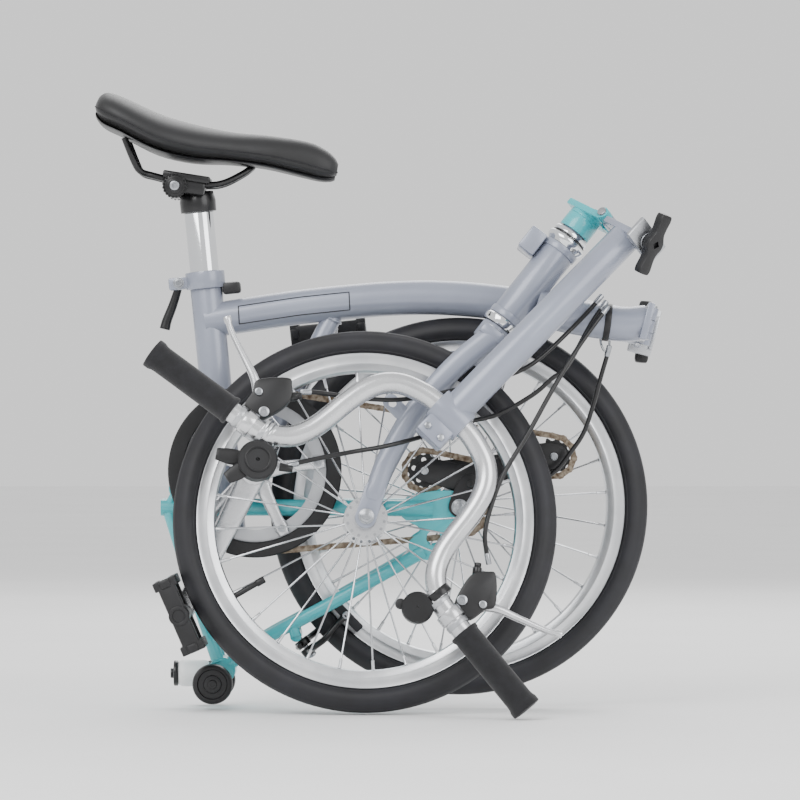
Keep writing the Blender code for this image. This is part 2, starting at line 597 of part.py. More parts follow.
REAR_HALF = 0.0550
REAR_BRAKE = (REAR_HUB, math.radians(52.2), 0.2269, 1, 0.0115)
FRONT_BRAKE = (FRONT_HUB, math.radians(110.0), 0.2400, -1, 0.0240)
TENSIONER_PIVOT = Vector((-0.3818, CHAIN_LINE, 0.1792))
JOCKEYS = (Vector((-0.3299, CHAIN_LINE, 0.1773)), Vector((-0.4625, CHAIN_LINE, 0.1288)))
ROLLER_CENTRE = Vector((-0.1619, 0, 0.4575))


def rear_frame():
    chain_stay = [(-0.0608, 0.0300, 0.2854), (-0.1200, 0.0300, 0.2710), (-0.2450, 0.0315, 0.2398),
                  (-0.2800, 0.0460, 0.2312), (-0.3250, 0.0570, 0.2205), (-0.3480, 0.0570, 0.2150)]
    seat_stay = [(-0.3500, 0.0570, 0.2620), (-0.3100, 0.0540, 0.3000), (-0.2500, 0.0440, 0.3560),
                 (-0.2060, 0.0330, 0.3960), (-0.1740, 0.0270, 0.4330)]
    strut = [(-0.0700, 0.0300, 0.2860), (-0.1150, 0.0290, 0.3600), (-0.1600, 0.0270, 0.4310)]
    plate = [(-0.318, 0.232), (-0.318, 0.212), (-0.345, 0.196), (-0.376, 0.190), (-0.390, 0.196), (-0.3935, 0.208),
             (-0.386, 0.226), (-0.378, 0.252), (-0.360, 0.270), (-0.338, 0.268), (-0.332, 0.255), (-0.342, 0.240)]
    pieces = [rod((-0.1680, -0.034, 0.4415), (-0.1680, 0.034, 0.4415), 0.0145, sides=18),
              rod(ROLLER_CENTRE - LEFT * 0.0590, ROLLER_CENTRE + LEFT * 0.0590, 0.0050, sides=12),
              rod((-0.2370, -0.040, 0.3860), (-0.2370, 0.040, 0.3860), 0.0062, sides=12),
              brake_post(*REAR_BRAKE)]
    cuts = []
    for side in (-1, 1):
        pieces.append(tube(mirrored(chain_stay, side), 0.0090, 10))
        pieces.append(tube(mirrored(seat_stay, side), 0.0073, 8))
        pieces.append(tube(mirrored(strut, side), 0.0073, 8))
        pieces.append(slab(plate, 0.004, LEFT * side * (REAR_HALF + 0.002)))
        lug = REAR_PIVOT + LEFT * side * 0.0320
        pieces.append(rod(lug - LEFT * 0.0053, lug + LEFT * 0.0053, 0.0130, sides=16))
        pieces.append(rod(lug, (-0.0680, side * 0.0320, 0.2840), 0.0052, sides=10))
        pieces.append(rod((-0.2370, side * 0.0390, 0.3860), (-0.2300, side * 0.0390, 0.3730), 0.0060, sides=10))
        cuts.append(rod(REAR_HUB + LEFT * side * 0.050, REAR_HUB + LEFT * side * 0.065, 0.0049, sides=14))
        hole = Vector((-0.3570, side * 0.057, 0.2460))
        cuts.append(rod(hole - LEFT * 0.01, hole + LEFT * 0.01, 0.0080, sides=14))
    cuts.append(rod(REAR_PIVOT - LEFT * 0.045, REAR_PIVOT + LEFT * 0.045, 0.0053, sides=12))
    part("rear_frame", rear_axis, TURQUOISE_PAINT, pieces, cuts)
    part("rear_pivot_pin", rear_axis, STEEL, [rod(REAR_PIVOT - LEFT * 0.0385, REAR_PIVOT + LEFT * 0.0385, 0.0050)])
    axle("rear_axle", rear_axis, REAR_HUB, REAR_HALF + 0.0040, REAR_HALF + 0.0070, 0.0085)


def suspension():
    direction = Vector((math.cos(math.radians(13.8)), 0, math.sin(math.radians(13.8))))
    start = Vector((-0.1690, 0, 0.4400)) + direction * 0.0150 + Vector((0, 0, 0.006))
    block_body = turned([(0.0040, 0), (0.0125, 0), (0.0145, 0.005), (0.0145, 0.028), (0.0125, 0.0335),
                         (0.0040, 0.0335)], start, direction, 18)
    part("suspension_block", rear_axis, ELASTOMER, [block_body])
    end = start + direction * 0.0338
    cap = [rod(end, end + direction * 0.005, 0.0140, sides=18),
           rod(end, end + direction * 0.0085, 0.0055, sides=12),
           rod(start + direction * 0.003, end + direction * 0.001, 0.0036, sides=12)]
    part("suspension_bolt", rear_axis, BLACK_METAL, cap)


def rollers():
    for side, name in ((-1, "roller_right"), (1, "roller_left")):
        centre = ROLLER_CENTRE + LEFT * side * 0.0480
        axis = hinge(name + "_axis", rear_axis, centre)
        outline = [(0.0053, -0.009), (0.0200, -0.009), (0.0220, -0.006), (0.0220, 0.006), (0.0200, 0.009),
                   (0.0053, 0.009)]
        part(name, axis, BLACK_PLASTIC, [turned(outline, centre, LEFT, 18)])


def tensioner():
    arm_axis = hinge("tensioner_axis", rear_axis, TENSIONER_PIVOT)
    one, two = JOCKEYS
    outline = [(-0.3190, 0.1790), (-0.3240, 0.1690), (-0.3400, 0.1620), (-0.3820, 0.1580), (-0.4300, 0.1260),
               (-0.4560, 0.1150), (-0.4740, 0.1190), (-0.4760, 0.1380), (-0.4600, 0.1440), (-0.4250, 0.1600),
               (-0.4020, 0.1860), (-0.3880, 0.1960), (-0.3740, 0.1920), (-0.3400, 0.1890), (-0.3250, 0.1880)]
    link = two - one
    inner = oval(link.length / 2 + 0.0090, 0.0090, 12, ((one.x + two.x) / 2, (one.z + two.z) / 2),
                 math.atan2(link.z, link.x))
    plates = [slab(outline, 0.0022, LEFT * (CHAIN_LINE - 0.0058)), slab(inner, 0.0022, LEFT * (CHAIN_LINE + 0.0058))]
    bore = rod(TENSIONER_PIVOT, TENSIONER_PIVOT - LEFT * 0.010, 0.0043, sides=12)
    shafts = [rod(j - LEFT * 0.0065, j + LEFT * 0.0065, 0.0032, sides=10) for j in JOCKEYS]
    part("tensioner_arm", arm_axis, BLACK_METAL, plates + shafts, [bore])
    for centre, name in ((one, "jockey_front"), (two, "jockey_rear")):
        axis = hinge(name + "_axis", arm_axis, centre)
        part(name, axis, BLACK_PLASTIC, [ring(0.0035, 0.0180, -0.0032, 0.0032, centre, LEFT, 20)])
    bracket = [(-0.3640, 0.2060), (-0.3700, 0.1740), (-0.3810, 0.1690), (-0.3920, 0.1750), (-0.3900, 0.2060),
               (-0.3830, 0.2165), (-0.3710, 0.2165)]
    face = -(REAR_HALF + 0.0043)
    plate = slab(bracket, 0.0025, LEFT * (face - 0.00125))
    bolt = rod(TENSIONER_PIVOT - LEFT * 0.0042, TENSIONER_PIVOT - LEFT * 0.0200, 0.0040, sides=12)
    stub = rod(TENSIONER_PIVOT - LEFT * 0.0073, TENSIONER_PIVOT - LEFT * 0.0160, 0.0065, sides=12)
    axle_hole = rod(REAR_HUB - LEFT * 0.050, REAR_HUB - LEFT * 0.080, 0.0048, sides=12)
    part("tensioner_bracket", rear_axis, BLACK_METAL, [plate, bolt, stub], [axle_hole])


# ---------------------------------------------------------------- front half

def along_steerer(height, forward=0.0, left=0.0):
    return HEAD_POINT + STEER_AXIS * height + STEER_FORWARD * forward + LEFT * left


def front_frame():
    half, hinge_cuts = frame_hinge.half(1)
    route = [frame_hinge.spot(0.034, PLATE / 2, 0), (0.4228, 0, 0.5000), (0.4492, 0, 0.4930), (0.4927, 0, 0.4850),
             (0.5330, 0, 0.4830)]
    turn = frame_of(STEER_AXIS, STEER_FORWARD)
    pieces = [tube(route, MAIN_TUBE_RADIUS, 14),
              rod(along_steerer(-0.0985), along_steerer(0.0035), 0.0190, sides=20),
              block((0.026, 0.034, 0.028), along_steerer(-0.0120, 0.027), turn)] + half
    cuts = [rod(along_steerer(-0.11), along_steerer(0.02), 0.0155, sides=20)] + hinge_cuts
    part("front_frame", front_axis, GREY_PAINT, pieces, cuts)
    upper = [(0.0148, 0.0038), (0.0200, 0.0038), (0.0225, 0.0090), (0.0225, 0.0120), (0.0195, 0.0160),
             (0.0205, 0.0215), (0.0148, 0.0215)]
    part("headset_upper", front_axis, CHROME, [turned(upper, HEAD_POINT, STEER_AXIS, 20)])


FRONT_HALF = 0.0380
stem_hinge = FoldHinge(STEM_PIN, -STEM_PIN_AXIS, STEER_AXIS, 0.036)


def fork():
    turn = frame_of(STEER_AXIS, STEER_FORWARD)
    blade = [(0.5555, 0.0340, 0.4330), (0.5580, 0.0340, 0.3900), (0.5660, 0.0345, 0.3450), (0.5780, 0.0355, 0.3050),
             (0.6000, 0.0385, 0.2600), (0.6190, 0.0405, 0.2320)]
    dropout = oval(0.0270, 0.0115, 12, (0.6290, 0.2180), math.atan2(0.0255, -0.0187))
    pieces = [rod(along_steerer(-0.1240), along_steerer(0.0416), 0.0143, sides=16),
              rod(along_steerer(-0.1300), along_steerer(-0.1094), 0.0185, sides=20),
              block((0.030, 0.086, 0.014), along_steerer(-0.1235), turn),
              brake_post(*FRONT_BRAKE)]
    cuts = []
    for side in (-1, 1):
        pieces.append(tube(mirrored(blade, side), 0.0078, 10))
        end = FRONT_HUB + LEFT * side * (FRONT_HALF + 0.0025)
        pieces.append(slab(dropout, 0.0050, LEFT * end.y))
        cuts.append(rod(end - LEFT * 0.02, end + LEFT * 0.02, 0.0049, sides=14))
    hook = slab(oval(0.016, 0.0085, 14, (0.5590, 0.3010), 0.15), 0.0050, LEFT * -0.0380)
    pieces.append(hook)
    cuts.append(rod((0.5540, -0.05, 0.3003), (0.5540, -0.03, 0.3003), 0.0042, sides=12))
    part("fork", fork_axis, GREY_PAINT, pieces, cuts)
    axle("front_axle", fork_axis, FRONT_HUB, FRONT_HALF + 0.0050, FRONT_HALF + 0.0050, 0.0080)
    half, hinge_cuts = stem_hinge.half(-1)
    collar = half + [rod(along_steerer(0.0240), along_steerer(0.0490), 0.0185, sides=18)]
    socket = rod(along_steerer(0.01), along_steerer(0.0420), 0.0146, sides=16)
    part("stem_hinge_base", fork_axis, TURQUOISE_PAINT, collar, [socket] + hinge_cuts)
    part("stem_hinge_pin", fork_axis, STEEL, stem_hinge.pin_rod())


# ---------------------------------------------------------------- stem, handlebar and controls

def on_stem(left, height, forward=0.0):
    return STEM_BASE + STEER_AXIS * height + LEFT * left + STEER_FORWARD * forward


BAR_BENDS = [(0.0220, 0.2837), (0.0450, 0.2885), (0.0630, 0.2965), (0.0765, 0.3100), (0.0850, 0.3290),
             (0.0895, 0.3520), (0.0920, 0.3760), (0.0960, 0.3985), (0.1050, 0.4180), (0.1200, 0.4315),
             (0.1400, 0.4403)]
BAR_SLOPE = math.radians(7.3)
BAR_END = 0.2740


def bar_height(left):
    """Height of the bar's straight outer run over the stem's base."""
    return BAR_BENDS[-1][1] + (left - BAR_BENDS[-1][0]) * math.tan(BAR_SLOPE)


def bar_route():
    half = BAR_BENDS + [(BAR_END, bar_height(BAR_END))]
    return [on_stem(-left, height) for left, height in half[::-1]] + [on_stem(*place) for place in half]


def stem():
    half, hinge_cuts = stem_hinge.half(1)
    top = on_stem(0, STEM_LENGTH)
    foot = stem_hinge.spot(0.0354, PLATE * 0.6, 0)
    upright = frame_of(STEER_AXIS, STEER_FORWARD)
    pieces = [rod(foot, on_stem(0, STEM_LENGTH - 0.006), STEM_RADIUS, sides=20),
              rod(top - LEFT * 0.0200, top + LEFT * 0.0200, 0.0185, sides=20),
              block((0.022, 0.036, 0.026), on_stem(0, STEM_LENGTH + 0.0240), upright)] + half
    cuts = [rod(top - LEFT * 0.03, top + LEFT * 0.03, BAR_RADIUS + GAP, sides=20),
            block((0.0022, 0.050, 0.040), on_stem(0, STEM_LENGTH + 0.0250), upright)] + hinge_cuts
    part("stem", stem_axis, GREY_PAINT, pieces, cuts)
    plate_axis = hinge("stem_clamp_axis", stem_axis, stem_hinge.spot(PLATE_REACH, 0, 0), stem_hinge.across)
    channel, holes = stem_hinge.clamp_channel()
    part("stem_clamp_plate", plate_axis, BRUSHED, channel, holes)
    lever_axis = hinge("stem_lever_axis", plate_axis, stem_hinge.spot(PLATE_REACH, 0, 0), stem_hinge.across)
    part("stem_clamp_lever", lever_axis, BLACK_PLASTIC, stem_hinge.clamp_lever(math.radians(-65)))


def handlebar():
    part("handlebar", stem_axis, POLISHED, [tube(bar_route(), BAR_RADIUS, 10)])
    for side, name in ((1, "left"), (-1, "right")):
        outward = LEFT * side * math.cos(BAR_SLOPE) + STEER_AXIS * math.sin(BAR_SLOPE)
        start = on_stem(side * 0.1650, bar_height(0.1650))
        outline = [(BAR_RADIUS + GAP, 0.004), (0.0160, 0.004), (0.0148, 0.010), (0.0148, 0.098), (0.0165, 0.104),
                   (0.0165, 0.110), (BAR_RADIUS + GAP, 0.110)]
        part("grip_" + name, stem_axis, FOAM, [turned(outline, start, outward, 14)])


def controls():
    for side, name in ((1, "left"), (-1, "right")):
        spread = side * 0.1480
        outward = LEFT * side * math.cos(BAR_SLOPE) + STEER_AXIS * math.sin(BAR_SLOPE)
        ring_at = on_stem(spread, bar_height(0.1480))
        flat = Matrix((LEFT * side, STEER_AXIS, STEER_FORWARD)).transposed()
        body = [(0.1340, 0.3900), (0.1440, 0.3760), (0.1520, 0.3740), (0.1760, 0.4000), (0.1680, 0.4120),
                (0.1630, 0.4290), (0.1420, 0.4290)]
        pieces = [rod(ring_at - outward * 0.006, ring_at + outward * 0.006, 0.0160, sides=18),
                  slab(body, 0.0160, STEM_BASE + STEER_FORWARD * 0.0100, flat)]
        pivot = on_stem(side * 0.1640, 0.4080, 0.010)
        cuts = [rod(ring_at - outward * 0.02, ring_at + outward * 0.02, BAR_RADIUS + GAP, sides=18),
                block((0.060, 0.0080, 0.046), on_stem(side * 0.1870, 0.3990, 0.010),
                      Matrix((LEFT * side, STEER_FORWARD, STEER_AXIS)).transposed()),
                rod(pivot - STEER_FORWARD * 0.02, pivot + STEER_FORWARD * 0.02, 0.0030, sides=10)]
        part("brake_body_" + name, stem_axis, BLACK_PLASTIC, pieces, cuts)
        axis = hinge("brake_lever_%s_axis" % name, stem_axis, pivot, STEER_FORWARD)
        blade = [pivot, on_stem(side * 0.1790, 0.3985, 0.010), on_stem(side * 0.2000, 0.3905, 0.012),
                 on_stem(side * 0.2300, 0.3790, 0.014), on_stem(side * 0.2460, 0.3700, 0.014)]
        lever = [tube(smooth(blade, 2), 0.0036, 8),
                 rod(pivot - STEER_FORWARD * 0.0075, pivot + STEER_FORWARD * 0.0075, 0.0027, sides=10)]
        part("brake_lever_" + name, axis, POLISHED, lever)
    gear = on_stem(-0.1130, 0.4640)
    clamp_at = on_stem(-0.1260, 0.4342)
    pieces = [rod(gear - STEER_FORWARD * 0.010, gear + STEER_FORWARD * 0.012, 0.0212, sides=20),
              rod(clamp_at - LEFT * 0.0050, clamp_at + LEFT * 0.0050, 0.0165, sides=16)]
    clear = [tube(bar_route(), BAR_RADIUS + 0.0005, 10)]
    part("shifter", stem_axis, BLACK_PLASTIC, pieces, clear)


# ---------------------------------------------------------------- chain and cables, drawn as they lie folded

CHAIN_RADIUS = 0.0032
CABLE_RADIUS = 0.0025
CABLE_ROUTES = {
    "brake_cable_right": [(-0.1060, -0.1716, 0.3460), (-0.0872, -0.1700, 0.3452), (-0.0638, -0.1650, 0.3420),
                          (-0.0350, -0.1580, 0.3385), (0.0043, -0.1480, 0.3381), (0.0578, -0.1330, 0.3477),
                          (0.1020, -0.1300, 0.3596), (0.1302, -0.1240, 0.3693), (0.1529, -0.1160, 0.3844),
                          (0.1832, -0.0980, 0.4124), (0.2060, -0.0920, 0.4362), (0.2180, -0.0880, 0.4503)],
    "shift_cable": [(-0.1190, -0.1903, 0.2671), (-0.1007, -0.1880, 0.2724), (-0.0530, -0.1830, 0.2818),
                    (-0.0159, -0.1680, 0.2881), (0.0256, -0.1490, 0.2987), (0.0716, -0.1390, 0.3135),
                    (0.1050, -0.1360, 0.3220), (0.1417, -0.1290, 0.3424), (0.1634, -0.1220, 0.3606),
                    (0.1796, -0.1150, 0.3736), (0.2047, -0.1030, 0.4178), (0.2225, -0.0950, 0.4438)],
    "brake_cable_left": [(0.0942, -0.1922, 0.1630), (0.0913, -0.1920, 0.1782), (0.0900, -0.1910, 0.1951),
                         (0.0954, -0.1860, 0.2204), (0.1095, -0.1760, 0.2573), (0.1366, -0.1620, 0.3018),
                         (0.1595, -0.1480, 0.3424), (0.1847, -0.1310, 0.3842), (0.2060, -0.1140, 0.4145),
                         (0.2240, -0.1010, 0.4383)],
    "rear_cable": [(0.2257, -0.0980, 0.3959), (0.2224, -0.0960, 0.3828), (0.2168, -0.0920, 0.3631),
                   (0.2068, -0.0860, 0.3261), (0.1979, -0.0800, 0.3011), (0.1844, -0.0740, 0.2806),
                   (0.1690, -0.0700, 0.2612), (0.1429, -0.0690, 0.2439)],
}


def folded(axis, point):
    """Where a point, drawn ready to ride on this axis, lies in the folded package."""
    bpy.context.view_layer.update()
    return package.matrix_world.inverted() @ axis.matrix_world @ (Vector(point) - drawn_at[axis.name])


def belt_route(wheels, step=math.radians(24)):
    """A closed loop round wheels given as (x, z, radius, sense): straight runs and arcs in one upright plane."""
    headings = []
    for one, two in zip(wheels, wheels[1:] + wheels[:1]):
        run = math.hypot(two[0] - one[0], two[1] - one[1])
        heading = math.atan2(two[1] - one[1], two[0] - one[0])
        headings.append(heading + math.asin((two[2] * two[3] - one[2] * one[3]) / run))
    route = []
    for i, (x, z, radius, sense) in enumerate(wheels):
        start, end = headings[i - 1], headings[i]
        sweep = (sense * (start - end)) % (2 * math.pi)
        count = max(2, math.ceil(sweep / step))
        for k in range(count + 1):
            turn = start - sense * sweep * k / count
            route.append((x - sense * radius * math.sin(turn), z + sense * radius * math.cos(turn)))
    return route


def chain_and_cables():
    tooth_wheels = []
    for axis, centre, radius, sense in ((stand, BRACKET, 0.0889, 1), (rear_axis, JOCKEYS[1], 0.0222, 1),
                                        (rear_axis, JOCKEYS[0], 0.0222, -1), (rear_axis, REAR_HUB, 0.0312, 1)):
        place = folded(axis, (centre.x, 0, centre.z))
        tooth_wheels.append((place.x, place.z, radius, sense))
    route = [(x, CHAIN_LINE, z) for x, z in belt_route(tooth_wheels)]
    part("chain", package, STEEL, [tube(route, CHAIN_RADIUS, 8, closed=True)])
    for name, points in CABLE_ROUTES.items():
        part(name, package, BLACK_PLASTIC, [tube(smooth(points, 2), CABLE_RADIUS, 8)])


main_frame()
seat_clamp()
frame_clamp()
seat_post()
crank_set()
rear_frame()
suspension()
rollers()
tensioner()
wheel("rear", rear_wheel_axis, REAR_HUB, 0.0540, 0.0260, 0.0150, 0.0048)
part("rear_sprocket", rear_wheel_axis, STEEL,
     [ring(0.0172, 0.0270, -0.0014, 0.0014, REAR_HUB + LEFT * CHAIN_LINE, LEFT, 24)])
brake("rear", rear_axis, *REAR_BRAKE)
front_frame()
fork()
wheel("front", front_wheel_axis, FRONT_HUB, 0.0370, 0.0235, 0.0120, 0.0048)
brake("front", fork_axis, *FRONT_BRAKE)
stem()
handlebar()
controls()
chain_and_cables()
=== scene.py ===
"""Looks of the folded bicycle: every piece is drawn on the bicycle ready to ride, X forward, Y left, Z up,
in metres, and the matrix of its group then folds it into the place that the frame gives."""

import math

import bpy
from mathutils import Matrix, Quaternion, Vector


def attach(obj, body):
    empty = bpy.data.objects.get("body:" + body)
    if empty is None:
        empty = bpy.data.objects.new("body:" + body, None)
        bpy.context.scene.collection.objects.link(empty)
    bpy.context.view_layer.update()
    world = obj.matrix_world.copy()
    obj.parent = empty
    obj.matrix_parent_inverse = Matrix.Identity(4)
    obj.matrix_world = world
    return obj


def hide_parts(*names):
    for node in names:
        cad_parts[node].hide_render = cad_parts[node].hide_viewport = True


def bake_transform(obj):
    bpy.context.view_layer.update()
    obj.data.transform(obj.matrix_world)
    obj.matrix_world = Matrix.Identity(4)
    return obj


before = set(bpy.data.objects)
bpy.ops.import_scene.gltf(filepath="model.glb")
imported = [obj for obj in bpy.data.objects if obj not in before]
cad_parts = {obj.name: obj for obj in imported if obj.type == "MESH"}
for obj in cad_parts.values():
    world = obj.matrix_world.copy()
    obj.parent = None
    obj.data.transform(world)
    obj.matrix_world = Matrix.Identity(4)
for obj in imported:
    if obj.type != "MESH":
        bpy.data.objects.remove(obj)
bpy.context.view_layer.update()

# ---------------------------------------------------------------- driving dimensions, as in the frame
WHEEL_RADIUS = 0.2065
RIM_OUTER = 0.1811
RIM_INNER = 0.1610
SPOKES = 28
BRACKET = Vector((0, 0, 0.2919))
REAR_HUB = Vector((-0.3762, 0, WHEEL_RADIUS))
FRONT_HUB = Vector((0.6377, 0, WHEEL_RADIUS))
REAR_PIVOT = Vector((-0.0770, 0, 0.2600))
SEAT_TUBE_TOP = Vector((-0.0892, 0, 0.4985))
SEAT_ANGLE = math.radians(75.54)
HEAD_POINT = Vector((0.5176, 0, 0.5502))
HEAD_ANGLE = math.radians(73.15)
CRANK_LENGTH = 0.172
CRANK_ANGLE = math.radians(71.9)
CHAIN_LINE = -0.0430
CHAIN_PITCH = 0.0127
FRAME_PIN = Vector((0.3984, -0.034, 0.5130))
FRAME_PIN_AXIS = Vector((0.1069, 0.0732, 0.9916)).normalized()
STEM_LENGTH = 0.2837
BAR_RADIUS = 0.0115
STAND_PITCH = 8.849
CENTRE_SHIFT = Vector((0.02097, 0.04136, -0.00125))
STAND_AT = Vector((-0.1577, 0.0, 0.2604)) + CENTRE_SHIFT

LEFT = Vector((0, 1, 0))
SEAT_AXIS = Vector((-math.cos(SEAT_ANGLE), 0, math.sin(SEAT_ANGLE)))
STEER_AXIS = Vector((-math.cos(HEAD_ANGLE), 0, math.sin(HEAD_ANGLE)))
STEER_FORWARD = Vector((math.sin(HEAD_ANGLE), 0, math.cos(HEAD_ANGLE)))
CRANK_DOWN = Vector((-math.cos(CRANK_ANGLE), 0, -math.sin(CRANK_ANGLE)))
STEM_BASE = HEAD_POINT + STEER_AXIS * 0.0534
STEM_PIN = STEM_BASE + (STEER_FORWARD - LEFT) * 0.025
STEM_PIN_AXIS = ((STEER_FORWARD + LEFT) / math.sqrt(2) - STEER_AXIS * 0.0714).normalized()


# ---------------------------------------------------------------- camera, light and floor

def add_camera():
    """A long lens far off, level with the middle of the package."""
    bpy.ops.object.camera_add(location=(CENTRE_SHIFT.x, -5.80, 0.336), rotation=(math.radians(90), 0, 0))
    camera = bpy.context.object
    camera.data.lens = 240
    camera.data.sensor_width = 36
    camera.data.clip_end = 50
    bpy.context.scene.camera = camera


def add_light(name, place, size, power):
    bpy.ops.object.light_add(type="AREA", location=place)
    lamp = bpy.context.object
    lamp.name = name
    lamp.data.size = size
    lamp.data.energy = power
    lamp.rotation_euler = (Vector((0, 0, 0.3)) - Vector(place)).to_track_quat("-Z", "Y").to_euler()


def add_floor():
    bpy.ops.mesh.primitive_plane_add(size=30, location=(0, 0, -0.0005))
    floor = bpy.context.object
    floor.name = "floor"
    floor.data.materials.append(FINISH["floor"])


def add_world():
    world = bpy.data.worlds.new("studio")
    world.use_nodes = True
    world.node_tree.nodes["Background"].inputs["Color"].default_value = (1.0, 1.0, 1.0, 1.0)
    world.node_tree.nodes["Background"].inputs["Strength"].default_value = 1.05
    bpy.context.scene.world = world


# ---------------------------------------------------------------- finishes

def srgb(code):
    """A hex colour as linear numbers."""
    parts = [int(code[i:i + 2], 16) / 255 for i in (1, 3, 5)]
    return [c / 12.92 if c <= 0.04045 else ((c + 0.055) / 1.055) ** 2.4 for c in parts] + [1.0]


def add_node(tree, kind, settings=None, **links):
    """A shader node with its settings; each link names one of its inputs and gives an output or a value."""
    node = tree.nodes.new(kind)
    for key, value in (settings or {}).items():
        if key in node.inputs and not hasattr(node, key):
            node.inputs[key].default_value = value
        else:
            setattr(node, key, value)
    for key, value in links.items():
        tree.links.new(value, node.inputs[key.replace("_", " ")])
    return node


def millimetres(size):
    """Pattern scale for features of this many millimetres."""
    return 1000.0 / size


def make_finish(name, dark, light, roughness, metallic=0.0, patch=60.0, grain=1.0, bump=0.00003, coat=0.0,
                coat_roughness=0.1, texture="ShaderNodeTexNoise", stretch=(1, 1, 1), spread=0.06, sheen=0.0):
    """Two near colours mixed over patches, a roughness that wanders a little and a fine grain in the bump."""
    material = bpy.data.materials.new(name)
    material.use_nodes = True
    tree = material.node_tree
    shader = tree.nodes["Principled BSDF"]
    shader.inputs["Metallic"].default_value = metallic
    shader.inputs["Coat Weight"].default_value = coat
    shader.inputs["Coat Roughness"].default_value = coat_roughness
    shader.inputs["Sheen Weight"].default_value = sheen
    place = add_node(tree, "ShaderNodeTexCoord")
    mapped = add_node(tree, "ShaderNodeMapping", {"Scale": stretch}, Vector=place.outputs["Object"])
    patches = add_node(tree, "ShaderNodeTexNoise", {"Scale": millimetres(patch), "Detail": 4.0},
                       Vector=place.outputs["Object"])
    colour = add_node(tree, "ShaderNodeValToRGB", Fac=patches.outputs["Fac"])
    colour.color_ramp.elements[0].color = srgb(dark)
    colour.color_ramp.elements[1].color = srgb(light)
    colour.color_ramp.elements[0].position = 0.35
    colour.color_ramp.elements[1].position = 0.65
    tree.links.new(colour.outputs["Color"], shader.inputs["Base Color"])
    fine = add_node(tree, texture, {"Scale": millimetres(grain)}, Vector=mapped.outputs["Vector"])
    wander = add_node(tree, "ShaderNodeMapRange", {"To Min": roughness - spread, "To Max": roughness + spread},
                      Value=fine.outputs[0])
    tree.links.new(wander.outputs["Result"], shader.inputs["Roughness"])
    relief = add_node(tree, "ShaderNodeBump", {"Strength": 1.0, "Distance": bump}, Height=fine.outputs[0])
    tree.links.new(relief.outputs["Normal"], shader.inputs["Normal"])
    material.diffuse_color = srgb(light)
    return material


VORONOI = "ShaderNodeTexVoronoi"
FINISH = {
    # powder coat under clear lacquer: soft orange peel, a broad satin highlight
    "grey_paint": make_finish("grey_lacquer", "#8A8F9E", "#949AA9", 0.34, 0.15, 90, 1.6, 0.000012, 0.5, 0.12),
    "turquoise_paint": make_finish("turquoise_lacquer", "#2FA7B0", "#3CB4BC", 0.34, 0.0, 90, 1.6, 0.000012, 0.6, 0.1),
    # aluminium, tumbled and buffed: light with a milky reflection
    "polished_aluminium": make_finish("satin_aluminium", "#CFD0D3", "#DADBDD", 0.27, 1.0, 40, 0.7, 0.000006),
    "brushed_aluminium": make_finish("bead_blasted_aluminium", "#B4B6BA", "#C3C5C8", 0.38, 1.0, 40, 0.5, 0.000012),
    "brake_track": make_finish("machined_rim_wall", "#CDCFD2", "#DEDFE1", 0.30, 1.0, 30, 0.5, 0.000008),
    "zinc_steel": make_finish("bright_zinc_plate", "#9A9DA2", "#B5B8BC", 0.28, 1.0, 12, 0.6, 0.000008),
    "spoke_steel": make_finish("drawn_stainless_wire", "#B2B4B8", "#C9CBCE", 0.24, 1.0, 12, 0.6, 0.000004),
    # rolled chain plates with a film of oil and road dust
    "chain_steel": make_finish("oiled_chain_steel", "#5A4B3C", "#9A8F80", 0.42, 0.85, 5, 0.5, 0.00003, spread=0.12),
    "chrome": make_finish("chrome_plate", "#DCDEE1", "#E8EAEC", 0.09, 1.0, 60, 2.0, 0.000002, spread=0.02),
    # glass-filled nylon from a spark-eroded mould: fine even grain
    "black_plastic": make_finish("moulded_nylon", "#0B0B0D", "#131316", 0.42, 0.0, 25, 0.45, 0.00002, spread=0.05),
    "black_metal": make_finish("black_electrocoat", "#09090B", "#121215", 0.33, 0.3, 25, 0.6, 0.00001, 0.3, 0.2),
    # carbon-black rubber: matt with a slight bloom
    "tyre_rubber": make_finish("vulcanised_rubber", "#131317", "#1B1B21", 0.58, 0.0, 30, 0.5, 0.00003, spread=0.08),
    # closed-cell foam: pores of about half a millimetre
    "grip_foam": make_finish("neoprene_foam", "#0F0F12", "#18181C", 0.88, 0.0, 8, 0.55, 0.00012,
                             texture=VORONOI, sheen=0.15),
    # coated microfibre: pebbled grain of about a millimetre, soft sheen
    "saddle_cover": make_finish("coated_microfibre", "#0C0C0E", "#141417", 0.50, 0.0, 40, 0.9, 0.00005,
                                texture=VORONOI, sheen=0.1),
    "white_elastomer": make_finish("cast_polyurethane", "#EDEEEE", "#F4F5F5", 0.40, 0.0, 20, 0.8, 0.00001),
    "cable_housing": make_finish("extruded_sleeve", "#0A0A0C", "#121214", 0.30, 0.0, 20, 0.8, 0.00001),
    "clear_reflector": make_finish("clear_acrylic", "#C9CED2", "#E4E8EA", 0.16, 0.0, 6, 2.4, 0.0004,
                                   0.8, 0.05, texture=VORONOI),
    "floor": make_finish("studio_floor", "#F4F4F4", "#F7F7F7", 0.7, 0.0, 400, 6.0, 0.00001),
}


# ---------------------------------------------------------------- groups

def turned_about(point, axis, degrees):
    return Matrix.Translation(point) @ Matrix.Rotation(math.radians(degrees), 4, axis) @ Matrix.Translation(-point)


